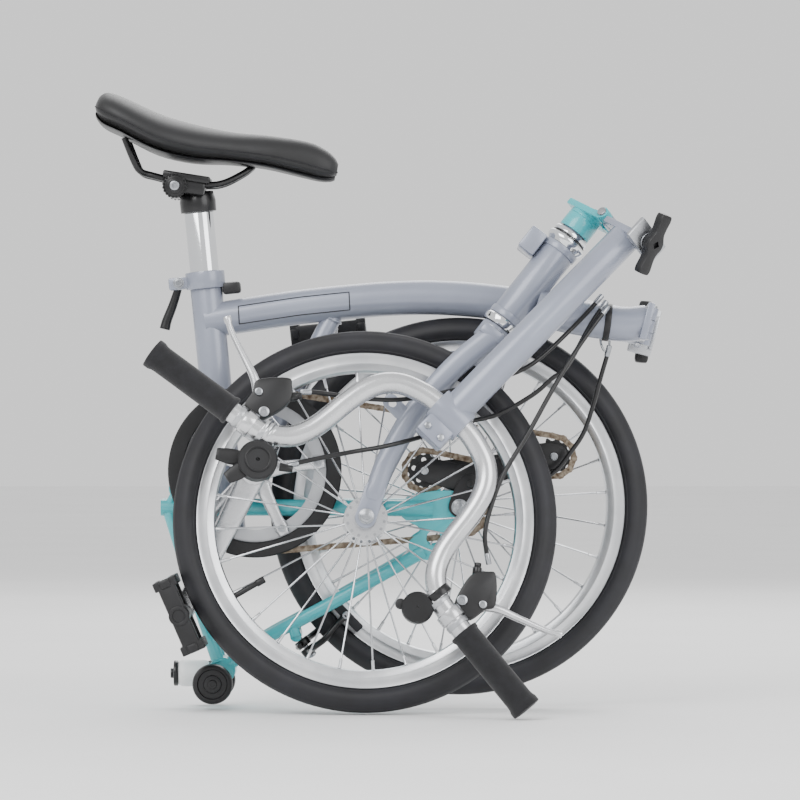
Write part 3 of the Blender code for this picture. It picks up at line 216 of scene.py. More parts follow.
MAIN = Matrix.Translation(STAND_AT) @ Matrix.Rotation(math.radians(STAND_PITCH), 4, LEFT)
MAIN = MAIN @ Matrix.Translation(-BRACKET)
REAR = MAIN @ turned_about(REAR_PIVOT, LEFT, -175)
FRONT = MAIN @ turned_about(FRAME_PIN, FRAME_PIN_AXIS, 180)
FORK = FRONT @ turned_about(HEAD_POINT, STEER_AXIS, 180)
STEM = FORK @ turned_about(STEM_PIN, STEM_PIN_AXIS, 180)
PACKAGE = Matrix.Translation(CENTRE_SHIFT)


# ---------------------------------------------------------------- modelling

def clear_selection():
    if bpy.context.object and bpy.context.object.mode != "OBJECT":
        bpy.ops.object.mode_set(mode="OBJECT")
    bpy.ops.object.select_all(action="DESELECT")


def pick(obj):
    clear_selection()
    obj.select_set(True)
    bpy.context.view_layer.objects.active = obj


def apply_place(obj):
    pick(obj)
    bpy.ops.object.transform_apply(location=True, rotation=True, scale=True)
    return obj


def apply_modifier(obj, kind, **settings):
    pick(obj)
    modifier = obj.modifiers.new(kind.lower(), kind)
    for key, value in settings.items():
        setattr(modifier, key, value)
    bpy.ops.object.modifier_apply(modifier=modifier.name)
    return obj


def soften(obj, width, segments=2):
    """Rounded edges where two faces meet at more than 35 degrees."""
    if width:
        apply_modifier(obj, "BEVEL", width=width, segments=segments, limit_method="ANGLE",
                       angle_limit=math.radians(35), harden_normals=False)
    return obj


def tidy_mesh(obj):
    """Merged doubles and faces that point out."""
    pick(obj)
    bpy.ops.object.mode_set(mode="EDIT")
    bpy.ops.mesh.select_all(action="SELECT")
    bpy.ops.mesh.remove_doubles(threshold=0.00001)
    bpy.ops.mesh.normals_make_consistent(inside=False)
    bpy.ops.object.mode_set(mode="OBJECT")
    return obj


def frame_of(direction, across=None):
    """Rotation whose Z is the direction and whose X is as near as it can be to across."""
    z = Vector(direction).normalized()
    guide = Vector(across) if across else (Vector((1, 0, 0)) if abs(z.x) < 0.9 else LEFT)
    y = z.cross(guide).normalized()
    return Matrix((y.cross(z), y, z)).transposed()


def rod(start, end, radius, end_radius=None, sides=32, edge=0.0006):
    """A round bar or cone between two points, its rims rounded."""
    start, end = Vector(start), Vector(end)
    clear_selection()
    bpy.ops.mesh.primitive_cone_add(vertices=sides, radius1=radius, depth=(end - start).length,
                                    radius2=radius if end_radius is None else end_radius,
                                    location=(start + end) / 2, rotation=frame_of(end - start).to_euler())
    return soften(apply_place(bpy.context.object), edge)


def block(size, centre, rotation=None, edge=0.0010):
    clear_selection()
    bpy.ops.mesh.primitive_cube_add(size=1, location=centre, rotation=(rotation or Matrix.Identity(3)).to_euler())
    obj = bpy.context.object
    obj.scale = size
    return soften(apply_place(obj), edge)


def lathe(outline, centre, axis, steps=48, edge=0.0):
    """A closed outline of (radius, height) points spun round the axis through the centre."""
    clear_selection()
    bpy.ops.mesh.primitive_circle_add(vertices=len(outline), radius=1)
    obj = bpy.context.object
    for vertex, (radius, height) in zip(obj.data.vertices, outline):
        vertex.co = (radius, 0, height)
    bpy.ops.object.mode_set(mode="EDIT")
    bpy.ops.mesh.select_all(action="SELECT")
    bpy.ops.mesh.spin(steps=steps, angle=2 * math.pi, center=(0, 0, 0), axis=(0, 0, 1))
    bpy.ops.object.mode_set(mode="OBJECT")
    tidy_mesh(obj)
    obj.matrix_world = Matrix.Translation(Vector(centre)) @ frame_of(axis).to_4x4()
    return soften(apply_place(obj), edge)


def ring(inner, outer, low, high, centre, axis, steps=48, edge=0.0):
    return lathe([(inner, low), (outer, low), (outer, high), (inner, high)], centre, axis, steps, edge)


def through(points, per_span=6, closed=False):
    """Points along a smooth curve through the given ones."""
    points = [Vector(p) for p in points]
    count = len(points)
    path = []
    for i in range(count if closed else count - 1):
        p1, p2 = points[i], points[(i + 1) % count]
        p0 = points[i - 1] if closed or i else p1 * 2 - p2
        p3 = points[(i + 2) % count] if closed or i + 2 < count else p2 * 2 - p1
        for step in range(per_span):
            t = step / per_span
            path.append((p1 * 2 + (p2 - p0) * t + (p0 * 2 - p1 * 5 + p2 * 4 - p3) * t * t
                         + (p1 * 3 - p0 - p2 * 3 + p3) * t ** 3) / 2)
    return path if closed else path + [points[-1]]


def swept(points, radius, sides=24, taper=None):
    """A round tube along points, closed at both ends; taper gives its size at the start and the end."""
    clear_selection()
    bpy.ops.object.add(type="CURVE")
    obj = bpy.context.object
    curve = obj.data
    curve.dimensions = "3D"
    curve.bevel_depth = radius
    curve.bevel_resolution = (sides - 4) // 2
    curve.use_fill_caps = True
    spline = curve.splines.new("POLY")
    spline.points.add(len(points) - 1)
    for i, place in enumerate(points):
        spline.points[i].co = (*place, 1)
        if taper:
            spline.points[i].radius = taper[0] + (taper[1] - taper[0]) * i / (len(points) - 1)
    bpy.ops.object.convert(target="MESH")
    return tidy_mesh(bpy.context.object)


def plate(outline, thickness, centre=(0, 0, 0), rotation=None, edge=0.0006, holes=()):
    """A flat outline with its thickness; without a rotation it lies in the X-Z plane."""
    clear_selection()
    bpy.ops.mesh.primitive_circle_add(vertices=len(outline), radius=1, fill_type="NGON")
    obj = bpy.context.object
    for vertex, (x, z) in zip(obj.data.vertices, outline):
        vertex.co = (x, z, -thickness / 2)
    bpy.ops.object.mode_set(mode="EDIT")
    bpy.ops.mesh.select_all(action="SELECT")
    bpy.ops.mesh.extrude_region_move(TRANSFORM_OT_translate={"value": (0, 0, thickness)})
    bpy.ops.object.mode_set(mode="OBJECT")
    tidy_mesh(obj)
    upright = rotation or Matrix(((1, 0, 0), (0, 0, -1), (0, 1, 0)))
    obj.matrix_world = Matrix.Translation(Vector(centre)) @ upright.to_4x4()
    apply_place(obj)
    for hole in holes:
        cut(obj, hole)
    return tidy_mesh(soften(obj, edge))


def cut(obj, tool, operation="DIFFERENCE"):
    apply_modifier(obj, "BOOLEAN", operation=operation, object=tool, solver="EXACT")
    bpy.data.objects.remove(tool)
    return obj


def oval(half_length, half_width, points=24, centre=(0, 0), angle=0.0):
    run = half_length - half_width
    outline = []
    for i in range(points):
        turn = 2 * math.pi * (i + 0.5) / points
        x = half_width * math.cos(turn) + math.copysign(run, math.cos(turn))
        z = half_width * math.sin(turn)
        outline.append((centre[0] + x * math.cos(angle) - z * math.sin(angle),
                        centre[1] + x * math.sin(angle) + z * math.cos(angle)))
    return outline


def loft(sections, centre=(0, 0, 0), rotation=None):
    """A closed skin over rings of as many points each; its ends are filled flat."""
    around = len(sections[0])
    clear_selection()
    bpy.ops.mesh.primitive_grid_add(x_subdivisions=around, y_subdivisions=len(sections) - 1, size=1)
    obj = bpy.context.object
    for row, section in enumerate(sections):
        for column in range(around + 1):
            obj.data.vertices[row * (around + 1) + column].co = section[column % around]
    bpy.ops.object.mode_set(mode="EDIT")
    bpy.ops.mesh.select_all(action="SELECT")
    bpy.ops.mesh.remove_doubles(threshold=0.00001)
    bpy.ops.mesh.select_all(action="DESELECT")
    bpy.ops.mesh.select_mode(type="EDGE")
    bpy.ops.mesh.select_non_manifold()
    if obj.data.total_edge_sel:
        bpy.ops.mesh.edge_face_add()
    bpy.ops.object.mode_set(mode="OBJECT")
    tidy_mesh(obj)
    obj.matrix_world = Matrix.Translation(Vector(centre)) @ (rotation or Matrix.Identity(3)).to_4x4()
    return apply_place(obj)


def oval_ring(centre, along, across, wide, deep, points=24):
    """Points of an ellipse round a place on a tapering bar."""
    turn = frame_of(along, across)
    return [Vector(centre) + turn @ Vector((math.cos(a) * wide, math.sin(a) * deep, 0))
            for a in (2 * math.pi * i / points for i in range(points))]


def repeated(shape, places, keep=False):
    """A copy of the shape, with its own mesh, at every place; the shape itself goes unless it is kept."""
    copies = []
    for place in places:
        pick(shape)
        bpy.ops.object.duplicate(linked=False)
        copy = bpy.context.object
        copy.matrix_world = place
        copies.append(apply_place(copy))
    if not keep:
        bpy.data.objects.remove(shape)
    return copies


def placed(point, rotation=None):
    return Matrix.Translation(Vector(point)) @ (rotation or Matrix.Identity(3)).to_4x4()


def socket_screw(point, outward, radius=0.0040, tall=0.0040):
    """A cap screw's head with its hexagon socket."""
    point, outward = Vector(point), Vector(outward).normalized()
    head = rod(point, point + outward * tall, radius, sides=28)
    tool = rod(point + outward * tall * 0.4, point + outward * tall * 1.5, radius * 0.55, sides=6, edge=0)
    return cut(head, tool)


def hex_nut(point, outward, radius, tall):
    point, outward = Vector(point), Vector(outward).normalized()
    return rod(point, point + outward * tall, radius, sides=6, edge=0.0007)


def mirrored(points, side):
    return [(x, y * side, z) for x, y, z in points]


def piece(name, shapes, finish, group, body, stands_for=(), smooth=35, bend=None):
    """Shapes joined into one piece, folded into place, with its finish, riding on its body.
    A piece given a bend is baked where it lies instead and rides on no body; the body and ends in the bend are not
    read."""
    pick(shapes[0])
    for shape in shapes[1:]:
        shape.select_set(True)
    if len(shapes) > 1:
        bpy.ops.object.join()
    obj = bpy.context.object
    obj.matrix_world = group
    apply_place(obj)
    obj.name = name
    obj.data.name = name
    obj.data.materials.clear()
    obj.data.materials.append(FINISH[finish])
    pick(obj)
    bpy.ops.object.shade_smooth_by_angle(angle=math.radians(smooth))
    if bend:
        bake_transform(obj)
    else:
        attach(obj, body)
    if stands_for:
        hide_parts(*stands_for)
    return obj


# ---------------------------------------------------------------- fold hinges

PLATE = 0.008
PLATE_REACH = 0.056


class FoldHinge:
    """Places round a hinge pin: across runs from the pin over the joint, forward is the moving side."""

    def __init__(self, pin, pin_axis, tube_axis, tall):
        self.pin = Vector(pin)
        self.up = Vector(pin_axis)
        self.forward = (tube_axis - self.up * tube_axis.dot(self.up)).normalized()
        self.across = self.up.cross(self.forward)
        self.rotation = Matrix((self.across, -self.forward, self.up)).transposed()
        self.tall = tall

    def spot(self, across, forward, up):
        return self.pin + self.across * across + self.forward * forward + self.up * up

    def box(self, low, high, edge=0.0010):
        centre = [(a + b) / 2 for a, b in zip(low, high)]
        return block([b - a for a, b in zip(low, high)], self.spot(*centre), self.rotation, edge)

    def half(self, side):
        """End plate with knuckles."""
        near, far = sorted((side * 0.0003, side * PLATE))
        top = self.tall / 2
        third = self.tall / 6
        shapes = [self.box((0.0085, near, 0.0006 - top), (PLATE_REACH, far, top - 0.0006), 0.0014)]
        spans = ((-third + 0.0003, third - 0.0003),) if side > 0 else ((-top, -third - 0.0003), (third + 0.0003, top))
        for low, high in spans:
            shapes.append(rod(self.spot(0, 0, low), self.spot(0, 0, high), 0.0068, sides=40))
            shapes.append(self.box((0, near, low), (0.012, far, high), 0.0004))
        return shapes

    def clamp(self, loose=0.0045):
        """The clamp plate, with hooked edges, and the lever's places."""
        inner = PLATE + 0.0012
        start = PLATE_REACH + loose
        web = self.box((start, -inner - 0.004, -0.026), (start + 0.0055, inner + 0.004, 0.026), 0.0016)
        hooks = [self.box((start - 0.0035, side * (inner + 0.002) - 0.002, -0.019),
                          (start + 0.001, side * (inner + 0.002) + 0.002, 0.019), 0.0008) for side in (-1, 1)]
        washer = rod(self.spot(start + 0.0054, 0, 0), self.spot(start + 0.0066, 0, 0), 0.0095, sides=36)
        return [web] + hooks + [washer]

    def lever(self, lean, loose=0.0045):
        seat = PLATE_REACH + loose + 0.0068
        flat = Matrix((self.up, self.forward, self.across)).transposed() @ Matrix.Rotation(lean, 3, "Z")
        half = [(0.0340, 0.0046, 0), (0.0325, 0.0066, 0), (0.0285, 0.0074, 0), (0.0235, 0.0069, 0),
                (0.0190, 0.0064, 0), (0.0130, 0.0063, 0), (0.0085, 0.0078, 0), (0.0045, 0.0098, 0), (0, 0.0105, 0)]
        upper = half + [(-x, y, 0) for x, y, _ in half[-2::-1]]
        bone = [(p.x, p.y) for p in through(upper + [(-x, -y, 0) for x, y, _ in upper], 3, True)]
        handle = plate(bone, 0.0105, self.spot(seat + 0.008, 0, 0), flat, 0.0030)
        boss = rod(self.spot(seat, 0, 0), self.spot(seat + 0.004, 0, 0), 0.0085, sides=36)
        window = self.spot(seat + 0.0095, 0, 0)
        diamond = rod(window, window + self.across * 0.008, 0.0046, sides=4, edge=0)
        return [cut(handle, diamond), boss]


frame_hinge = FoldHinge(FRAME_PIN, FRAME_PIN_AXIS, Vector((1, 0, -0.10)), 0.042)
stem_hinge = FoldHinge(STEM_PIN, -STEM_PIN_AXIS, STEER_AXIS, 0.036)


# ---------------------------------------------------------------- main frame

MAIN_TUBE_ROUTE = [(-0.080, 0, 0.4440), (-0.045, 0, 0.4555), (0.020, 0, 0.4757), (0.084, 0, 0.4925),
                   (0.122, 0, 0.5012), (0.160, 0, 0.5080), (0.198, 0, 0.5122), (0.236, 0, 0.5142),
                   (0.270, 0, 0.5147), (0.303, 0, 0.5143), (0.350, 0, 0.5122)]


def bead(point, axis, radius, size=0.0016):
    """A brazed fillet round a joint."""
    clear_selection()
    bpy.ops.mesh.primitive_torus_add(major_radius=radius, minor_radius=size, major_segments=40, minor_segments=8,
                                     location=point, rotation=frame_of(axis).to_euler())
    return apply_place(bpy.context.object)


def add_main_frame():
    strut_top, shell = Vector((0.0574, 0, 0.4720)), BRACKET
    strut_line = strut_top - shell
    shapes = [ring(0.0163, 0.0175, -0.2940, 0, SEAT_TUBE_TOP, SEAT_AXIS, 56, 0.0004),
              swept(through(MAIN_TUBE_ROUTE + [frame_hinge.spot(0.034, -PLATE / 2, 0)]), 0.0190, 44),
              rod(strut_top, shell - Vector((0.004, 0, 0)), 0.0105, sides=36),
              ring(0.0090, 0.0175, -0.034, 0.034, shell, LEFT, 48, 0.0006),
              rod(shell - Vector((0.010, 0, 0.004)), (-0.0300, 0, 0.2780), 0.0130, sides=36),
              rod(REAR_PIVOT - LEFT * 0.026, REAR_PIVOT + LEFT * 0.026, 0.0115, sides=36),
              rod(REAR_PIVOT + Vector((0.006, 0, 0)), (-0.0270, 0, 0.2650), 0.0100, sides=36),
              bead(shell + strut_line.normalized() * 0.0175, strut_line, 0.0105),
              bead(strut_top - strut_line.normalized() * 0.004, strut_line, 0.0108)]
    shapes += frame_hinge.half(-1)
    piece("main_frame_tubes", shapes, "grey_paint", MAIN, "frame", ["main_frame"])
    piece("frame_pin", [frame_hinge_pin_end(frame_hinge)], "zinc_steel", MAIN, "frame", ["frame_hinge_pin"])
    guide = [(0.3500, -0.006, 0.4925), (0.3520, -0.010, 0.4860), (0.3560, -0.006, 0.4800), (0.3600, 0.004, 0.4790),
             (0.3620, 0.012, 0.4840), (0.3610, 0.012, 0.4930)]
    piece("cable_guide_wire", [swept(through(guide, 5), 0.0013, 12)], "zinc_steel", MAIN, "frame")
    line = []
    low, high, across = math.radians(-27), math.radians(33), 0.0191
    spots = [(-0.0440, low), (0.0730, low), (0.0730, high), (-0.0440, high)]
    for (x0, a0), (x1, a1) in zip(spots, spots[1:] + spots[:1]):
        steps = 14
        for i in range(steps):
            x, turn = x0 + (x1 - x0) * i / steps, a0 + (a1 - a0) * i / steps
            middle = tube_height(x)
            line.append(Vector((x - math.sin(turn) * 0.004, -across * math.cos(turn), middle + across * math.sin(turn))))
    outline = swept(line + line[:2], 0.0006, 8)
    piece("panel_outline", [outline], "black_plastic", MAIN, "frame")


def tube_height(x):
    """Height of the main tube's middle at this x."""
    for (x0, _, z0), (x1, _, z1) in zip(MAIN_TUBE_ROUTE, MAIN_TUBE_ROUTE[1:]):
        if x0 <= x <= x1:
            return z0 + (z1 - z0) * (x - x0) / (x1 - x0)
    return MAIN_TUBE_ROUTE[0][2]


def frame_hinge_pin_end(hinge):
    top = hinge.tall / 2
    return rod(hinge.spot(0, 0, -top - 0.0008), hinge.spot(0, 0, top + 0.0025), 0.0050, sides=36)


def add_seat_clamp():
    low, high = SEAT_TUBE_TOP - SEAT_AXIS * 0.0190, SEAT_TUBE_TOP - SEAT_AXIS * 0.0005
    turn = frame_of(SEAT_AXIS, Vector((1, 0, 0)))
    bolt = Vector((-0.1150, 0, 0.4812))
    ears = [block((0.026, 0.0062, 0.0135), Vector((-0.1130, side * 0.0048, 0.4812)), turn, 0.0022) for side in (-1, 1)]
    band = ring(0.0178, 0.0215, -0.0190, -0.0005, SEAT_TUBE_TOP, SEAT_AXIS, 56, 0.0008)
    piece("seat_clamp_band", [band] + ears, "grey_paint", MAIN, "frame", ["seat_clamp"])
    washer = ring(0.0030, 0.0060, 0, 0.0012, bolt - LEFT * 0.0092, LEFT, 36, 0.0003)
    screw = socket_screw(bolt - LEFT * 0.0092, -LEFT, 0.0045, 0.0038)
    stud = rod(bolt - LEFT * 0.008, bolt + LEFT * 0.0148, 0.0030)
    piece("seat_clamp_bolt", [washer, screw, stud], "zinc_steel", MAIN, "frame")
    cam = bolt + LEFT * 0.0205
    grip = [(cam.x, cam.y, cam.z), (-0.1165, 0.0212, 0.4700), (-0.1190, 0.0212, 0.4550), (-0.1225, 0.0210, 0.4390),
            (-0.1235, 0.0205, 0.4290)]
    route = through(grip, 5)
    rings = []
    for i, place in enumerate(route):
        along = route[min(i + 1, len(route) - 1)] - route[max(i - 1, 0)]
        share = i / (len(route) - 1)
        rings.append(oval_ring(place, along, LEFT, 0.0032 + 0.0010 * share, 0.0040 + 0.0018 * share, 20))
    lever = [soften(loft(rings), 0.0008), rod(cam - Vector((0.0062, 0, 0)), cam + Vector((0.0062, 0, 0)), 0.0048)]
    piece("seat_lever_handle", lever, "black_metal", MAIN, "seat_lever", ["seat_clamp_lever"])
    rest = block((0.020, 0.022, 0.013), Vector((-0.0570, 0, 0.4850)), turn, 0.0030)
    piece("seat_buffer", [rest], "black_plastic", MAIN, "frame")


def add_clamps():
    piece("frame_clamp_channel", frame_hinge.clamp(), "brushed_aluminium", MAIN, "frame_plate",
          ["frame_clamp_plate"])
    piece("frame_lever_handle", frame_hinge.lever(math.radians(-10)), "black_plastic", MAIN, "frame_lever",
          ["frame_clamp_lever"])
    piece("stem_clamp_channel", stem_hinge.clamp(), "brushed_aluminium", STEM, "stem_plate", ["stem_clamp_plate"])
    piece("stem_lever_handle", stem_hinge.lever(math.radians(-65)), "black_plastic", STEM, "stem_lever",
          ["stem_clamp_lever"])


# ---------------------------------------------------------------- seat post and saddle

SADDLE_LINE = [
    # x, top, bottom, half width
    (-0.2320, 0.6640, 0.6530, 0.046), (-0.2290, 0.6712, 0.6470, 0.058), (-0.2200, 0.6752, 0.6400, 0.067),
    (-0.2000, 0.6712, 0.6340, 0.0745), (-0.1600, 0.6600, 0.6210, 0.0765), (-0.1200, 0.6550, 0.6180, 0.064),
    (-0.0800, 0.6535, 0.6220, 0.044), (-0.0400, 0.6560, 0.6235, 0.031), (0.0000, 0.6560, 0.6205, 0.025),
    (0.0200, 0.6510, 0.6192, 0.0215), (0.0320, 0.6440, 0.6208, 0.0160), (0.0375, 0.6370, 0.6240, 0.0090)]


def saddle_ring(x, top, bottom, half, points=48):
    """A crowned cushion's outline: domed above, pulled in towards a flat base."""
    out = []
    for i in range(points):
        turn = 2 * math.pi * i / points
        side, rise = math.cos(turn), math.sin(turn)
        wide = math.copysign(abs(side) ** 0.72, side) * half
        height = math.copysign(abs(rise) ** (0.95 if rise > 0 else 0.55), rise)
        if rise < 0:
            wide *= 1 - 0.10 * abs(rise)
        out.append((x, wide, bottom + (top - bottom) * (0.34 + (0.66 if rise > 0 else 0.34) * height)))
    return out


def saddle_sections(per_span=4):
    """Sections between the given ones, on a smooth curve."""
    places = through([Vector((x, top, bottom)) for x, top, bottom, _ in SADDLE_LINE], per_span)
    widths = through([Vector((half, 0, 0)) for _, _, _, half in SADDLE_LINE], per_span)
    return [(place.x, place.y, place.z, wide.x) for place, wide in zip(places, widths)]


def add_saddle():
    sections = saddle_sections()
    cover = loft([saddle_ring(*section) for section in sections])
    cover = piece("saddle_cushion", [soften(cover, 0.0025)], "saddle_cover", MAIN, "seat", ["saddle"], 60)
    seam = []
    for side in (1, -1):
        edge = [Vector((x, side * (half + 0.0002), bottom + (top - bottom) * 0.30)) for x, top, bottom, half in sections]
        seam += edge if side > 0 else edge[::-1]
    piece("saddle_piping", [swept(seam + seam[:1], 0.0009, 8)], "grip_foam", MAIN, "seat")
    base = []
    for x, top, bottom, half in sections[2:-1]:
        inside = max(half - 0.006, 0.004)
        base.append([(x, math.cos(a) * inside, bottom - 0.0012 + math.sin(a) * 0.0034)
                     for a in (2 * math.pi * i / 24 for i in range(24))])
    piece("saddle_base", [loft(base)], "black_plastic", MAIN, "seat")


def add_seat_post():
    bottom, top = SEAT_TUBE_TOP - SEAT_AXIS * 0.290, SEAT_TUBE_TOP + SEAT_AXIS * 0.0750
    post = ring(0.0141, 0.0159, 0, (top - bottom).length, bottom, SEAT_AXIS, 64, 0.0004)
    piece("seat_post_tube", [post], "chrome", MAIN, "seat", ["seat_post"])
    half = [(-0.1960, 0.043, 0.6280), (-0.1830, 0.040, 0.6060), (-0.1740, 0.034, 0.5950),
            (-0.1600, 0.026, 0.5925), (-0.1250, 0.022, 0.5900), (-0.0980, 0.021, 0.5920),
            (-0.0820, 0.017, 0.5970), (-0.0650, 0.011, 0.6090), (-0.0560, 0.006, 0.6175)]
    route = half + mirrored(half[::-1], -1)
    piece("seat_rails", [swept(through(route, 4), 0.0036, 20)], "black_metal", MAIN, "seat", ["saddle_rails"])
    hub = Vector((-0.1345, 0, 0.5850))
    teeth = [block((0.0016, 0.0030, 0.0022), hub + LEFT * side * 0.0315
                   + Vector((math.cos(a), 0, math.sin(a))) * 0.0128, Matrix.Rotation(-a, 3, "Y"), 0)
             for side in (-1, 1) for a in (2 * math.pi * k / 20 for k in range(20))]
    body = [lathe([(0.0162, -0.010), (0.0195, -0.010), (0.0198, 0.002), (0.0178, 0.012), (0.0162, 0.012)], top,
                  SEAT_AXIS, 48, 0.0006),
            block((0.044, 0.054, 0.016), (-0.1235, 0, 0.5870), edge=0.0030),
            block((0.052, 0.018, 0.008), (-0.1235, 0.0215, 0.5965), edge=0.0020),
            block((0.052, 0.018, 0.008), (-0.1235, -0.0215, 0.5965), edge=0.0020),
            rod(hub - LEFT * 0.031, hub + LEFT * 0.031, 0.0130, sides=48, edge=0.0012),
            rod(hub - LEFT * 0.034, hub + LEFT * 0.034, 0.0085, sides=48)] + teeth
    piece("seat_clamp_block", body, "black_metal", MAIN, "seat", ["saddle_clamp"])
    ends = [socket_screw(hub + LEFT * side * 0.0335, LEFT * side, 0.0052, 0.0042) for side in (-1, 1)]
    piece("seat_clamp_screws", ends, "zinc_steel", MAIN, "seat")


# ---------------------------------------------------------------- cranks, pedals and chain

def crank_arm(outer_y, direction, side):
    """A forged arm that narrows towards the pedal."""
    centre = BRACKET + LEFT * outer_y
    rings = []
    for share in (-0.075, -0.05, 0, 0.10, 0.25, 0.5, 0.75, 0.92, 1.0, 1.04, 1.066):
        reach = share * CRANK_LENGTH
        wide = 0.0150 - 0.0045 * min(max(share, 0), 0.85) / 0.85 + (0.0014 if share > 0.9 else 0)
        if share < 0:
            wide *= math.sqrt(max(1 - (share / 0.088) ** 2, 0.05))
        if share > 1:
            wide *= math.sqrt(max(1 - ((share - 1) / 0.071) ** 2, 0.05))
        rings.append([centre + direction * reach + frame_of(direction, LEFT) @ Vector((x * 0.0060, y * wide, 0))
                      for x, y in [(math.copysign(abs(math.cos(a)) ** 0.5, math.cos(a)),
                                    math.copysign(abs(math.sin(a)) ** 0.5, math.sin(a)))
                                   for a in (2 * math.pi * i / 28 for i in range(28))]])
    return loft(rings)


def add_pedal(name, body, side, spindle_end, tilt, stands_for):
    middle = Vector(spindle_end) + LEFT * side * 0.0540
    turn = Matrix.Rotation(-tilt, 3, "Y")
    shapes = [ring(0.0068, 0.0108, -0.0470, 0.0470, middle, LEFT, 36, 0.0008)]
    for end in (-1, 1):
        bar = block((0.0090, 0.094, 0.012), middle + turn @ Vector((end * 0.0370, 0, 0)), turn, 0.0018)
        shapes.append(bar)
        for k in range(-4, 5):
            shapes.append(block((0.0100, 0.0056, 0.0258), middle + turn @ Vector((end * 0.0370, k * 0.0106, 0)), turn,
                                0.0010))
        shapes.append(block((0.074, 0.0070, 0.019), middle + LEFT * end * 0.0420, turn, 0.0020))
    shapes.append(block((0.074, 0.010, 0.016), middle, turn, 0.0020))
    piece(name, shapes, "black_plastic", MAIN, body, [stands_for])
    reflectors = [block((0.0030, 0.052, 0.0100), middle + turn @ Vector((end * 0.0412, 0, 0)), turn, 0.0008)
                  for end in (-1, 1)]
    piece(name + "_reflectors", reflectors, "clear_reflector", MAIN, body)


def add_crank_set():
    right_end = BRACKET + CRANK_DOWN * CRANK_LENGTH - LEFT * 0.0640
    left_end = BRACKET - CRANK_DOWN * CRANK_LENGTH + LEFT * 0.0620
    shapes = [crank_arm(-0.0640, CRANK_DOWN, -1),
              rod(BRACKET - LEFT * 0.0475, BRACKET - LEFT * 0.0725, 0.0185, 0.0150, 48, 0.0012),
              rod(right_end + LEFT * 0.004, right_end - LEFT * 0.0980, 0.0061)]
    bolts = []
    for k in range(5):
        reach = Quaternion(LEFT, 2 * math.pi * k / 5 + 0.35) @ CRANK_DOWN
        side_way = LEFT.cross(reach)
        rings = []
        for out, wide in ((0.010, 0.0110), (0.030, 0.0075), (0.055, 0.0062), (0.068, 0.0075), (0.0760, 0.0060)):
            rings.append([BRACKET - LEFT * 0.0500 + reach * out + side_way * (math.sin(a) * wide)
                          + LEFT * (math.cos(a) * 0.0022) for a in (2 * math.pi * i / 16 for i in range(16))])
        shapes.append(loft(rings))
        bolts.append(BRACKET + reach * 0.0690 - LEFT * 0.0522)
    piece("right_crank_arm", shapes, "polished_aluminium", MAIN, "cranks", ["crank_right"])
    piece("chainring_bolts", [socket_screw(bolt, -LEFT, 0.0042, 0.0020) for bolt in bolts], "zinc_steel", MAIN,
          "cranks")
    dust_cap = [ring(0.0020, 0.0095, 0, 0.0012, BRACKET - LEFT * 0.0732, LEFT, 36, 0.0004),
                socket_screw(BRACKET - LEFT * 0.0715, -LEFT, 0.0062, 0.0030)]
    piece("crank_bolt", dust_cap, "zinc_steel", MAIN, "cranks")
    left = [crank_arm(0.0620, -CRANK_DOWN, 1),
            rod(BRACKET + LEFT * 0.0505, BRACKET + LEFT * 0.0700, 0.0170, 0.0150, 48, 0.0012),
            rod(left_end - LEFT * 0.004, left_end + LEFT * 0.0980, 0.0061),
            rod(BRACKET - LEFT * 0.0470, BRACKET + LEFT * 0.0560, 0.0084)]
    piece("left_crank_arm", left, "polished_aluminium", MAIN, "cranks", ["crank_left"])
    teeth = 44
    rim = []
    for i in range(teeth):
        for share, radius in ((0.0, 0.0840), (0.22, 0.0872), (0.42, 0.0872), (0.64, 0.0840), (0.82, 0.0834)):
            turn = 2 * math.pi * (i + share) / teeth
            rim.append((radius * math.cos(turn), radius * math.sin(turn)))
    ring_plate = plate(rim, 0.0028, BRACKET + LEFT * CHAIN_LINE, edge=0)
    cut(ring_plate, rod(BRACKET + LEFT * (CHAIN_LINE - 0.01), BRACKET + LEFT * (CHAIN_LINE + 0.01), 0.0640,
                        sides=96, edge=0))
    for k in range(5):
        reach = Quaternion(LEFT, 2 * math.pi * k / 5 + 0.35) @ CRANK_DOWN
        tab = BRACKET + reach * 0.0660 + LEFT * CHAIN_LINE
        cut(ring_plate, rod(tab - LEFT * 0.0014, tab + LEFT * 0.0014, 0.0080, sides=28, edge=0), "UNION")
    piece("chainring_teeth", [ring_plate], "brushed_aluminium", MAIN, "cranks", ["chainring"])
    guard = lathe([(0.0790, -0.0012), (0.0930, -0.0012), (0.0944, 0.0), (0.0930, 0.0012), (0.0790, 0.0012),
                   (0.0775, 0.0)], BRACKET - LEFT * 0.0502, LEFT, 96)
    piece("chain_guard_ring", [guard], "black_plastic", MAIN, "cranks", ["chain_guard"])
    cups = [ring(0.0090, 0.0168, 0, 0.0035, BRACKET + LEFT * side * 0.0340, LEFT * side, 24, 0.0005) for side in (-1, 1)]
    piece("bracket_cups", cups, "black_metal", MAIN, "frame")
    add_pedal("right_pedal_cage", "right_pedal", -1, right_end, math.radians(-57.6), "pedal_right")
    add_pedal("left_pedal_cage", "left_pedal", 1, left_end, math.radians(15), "pedal_left")


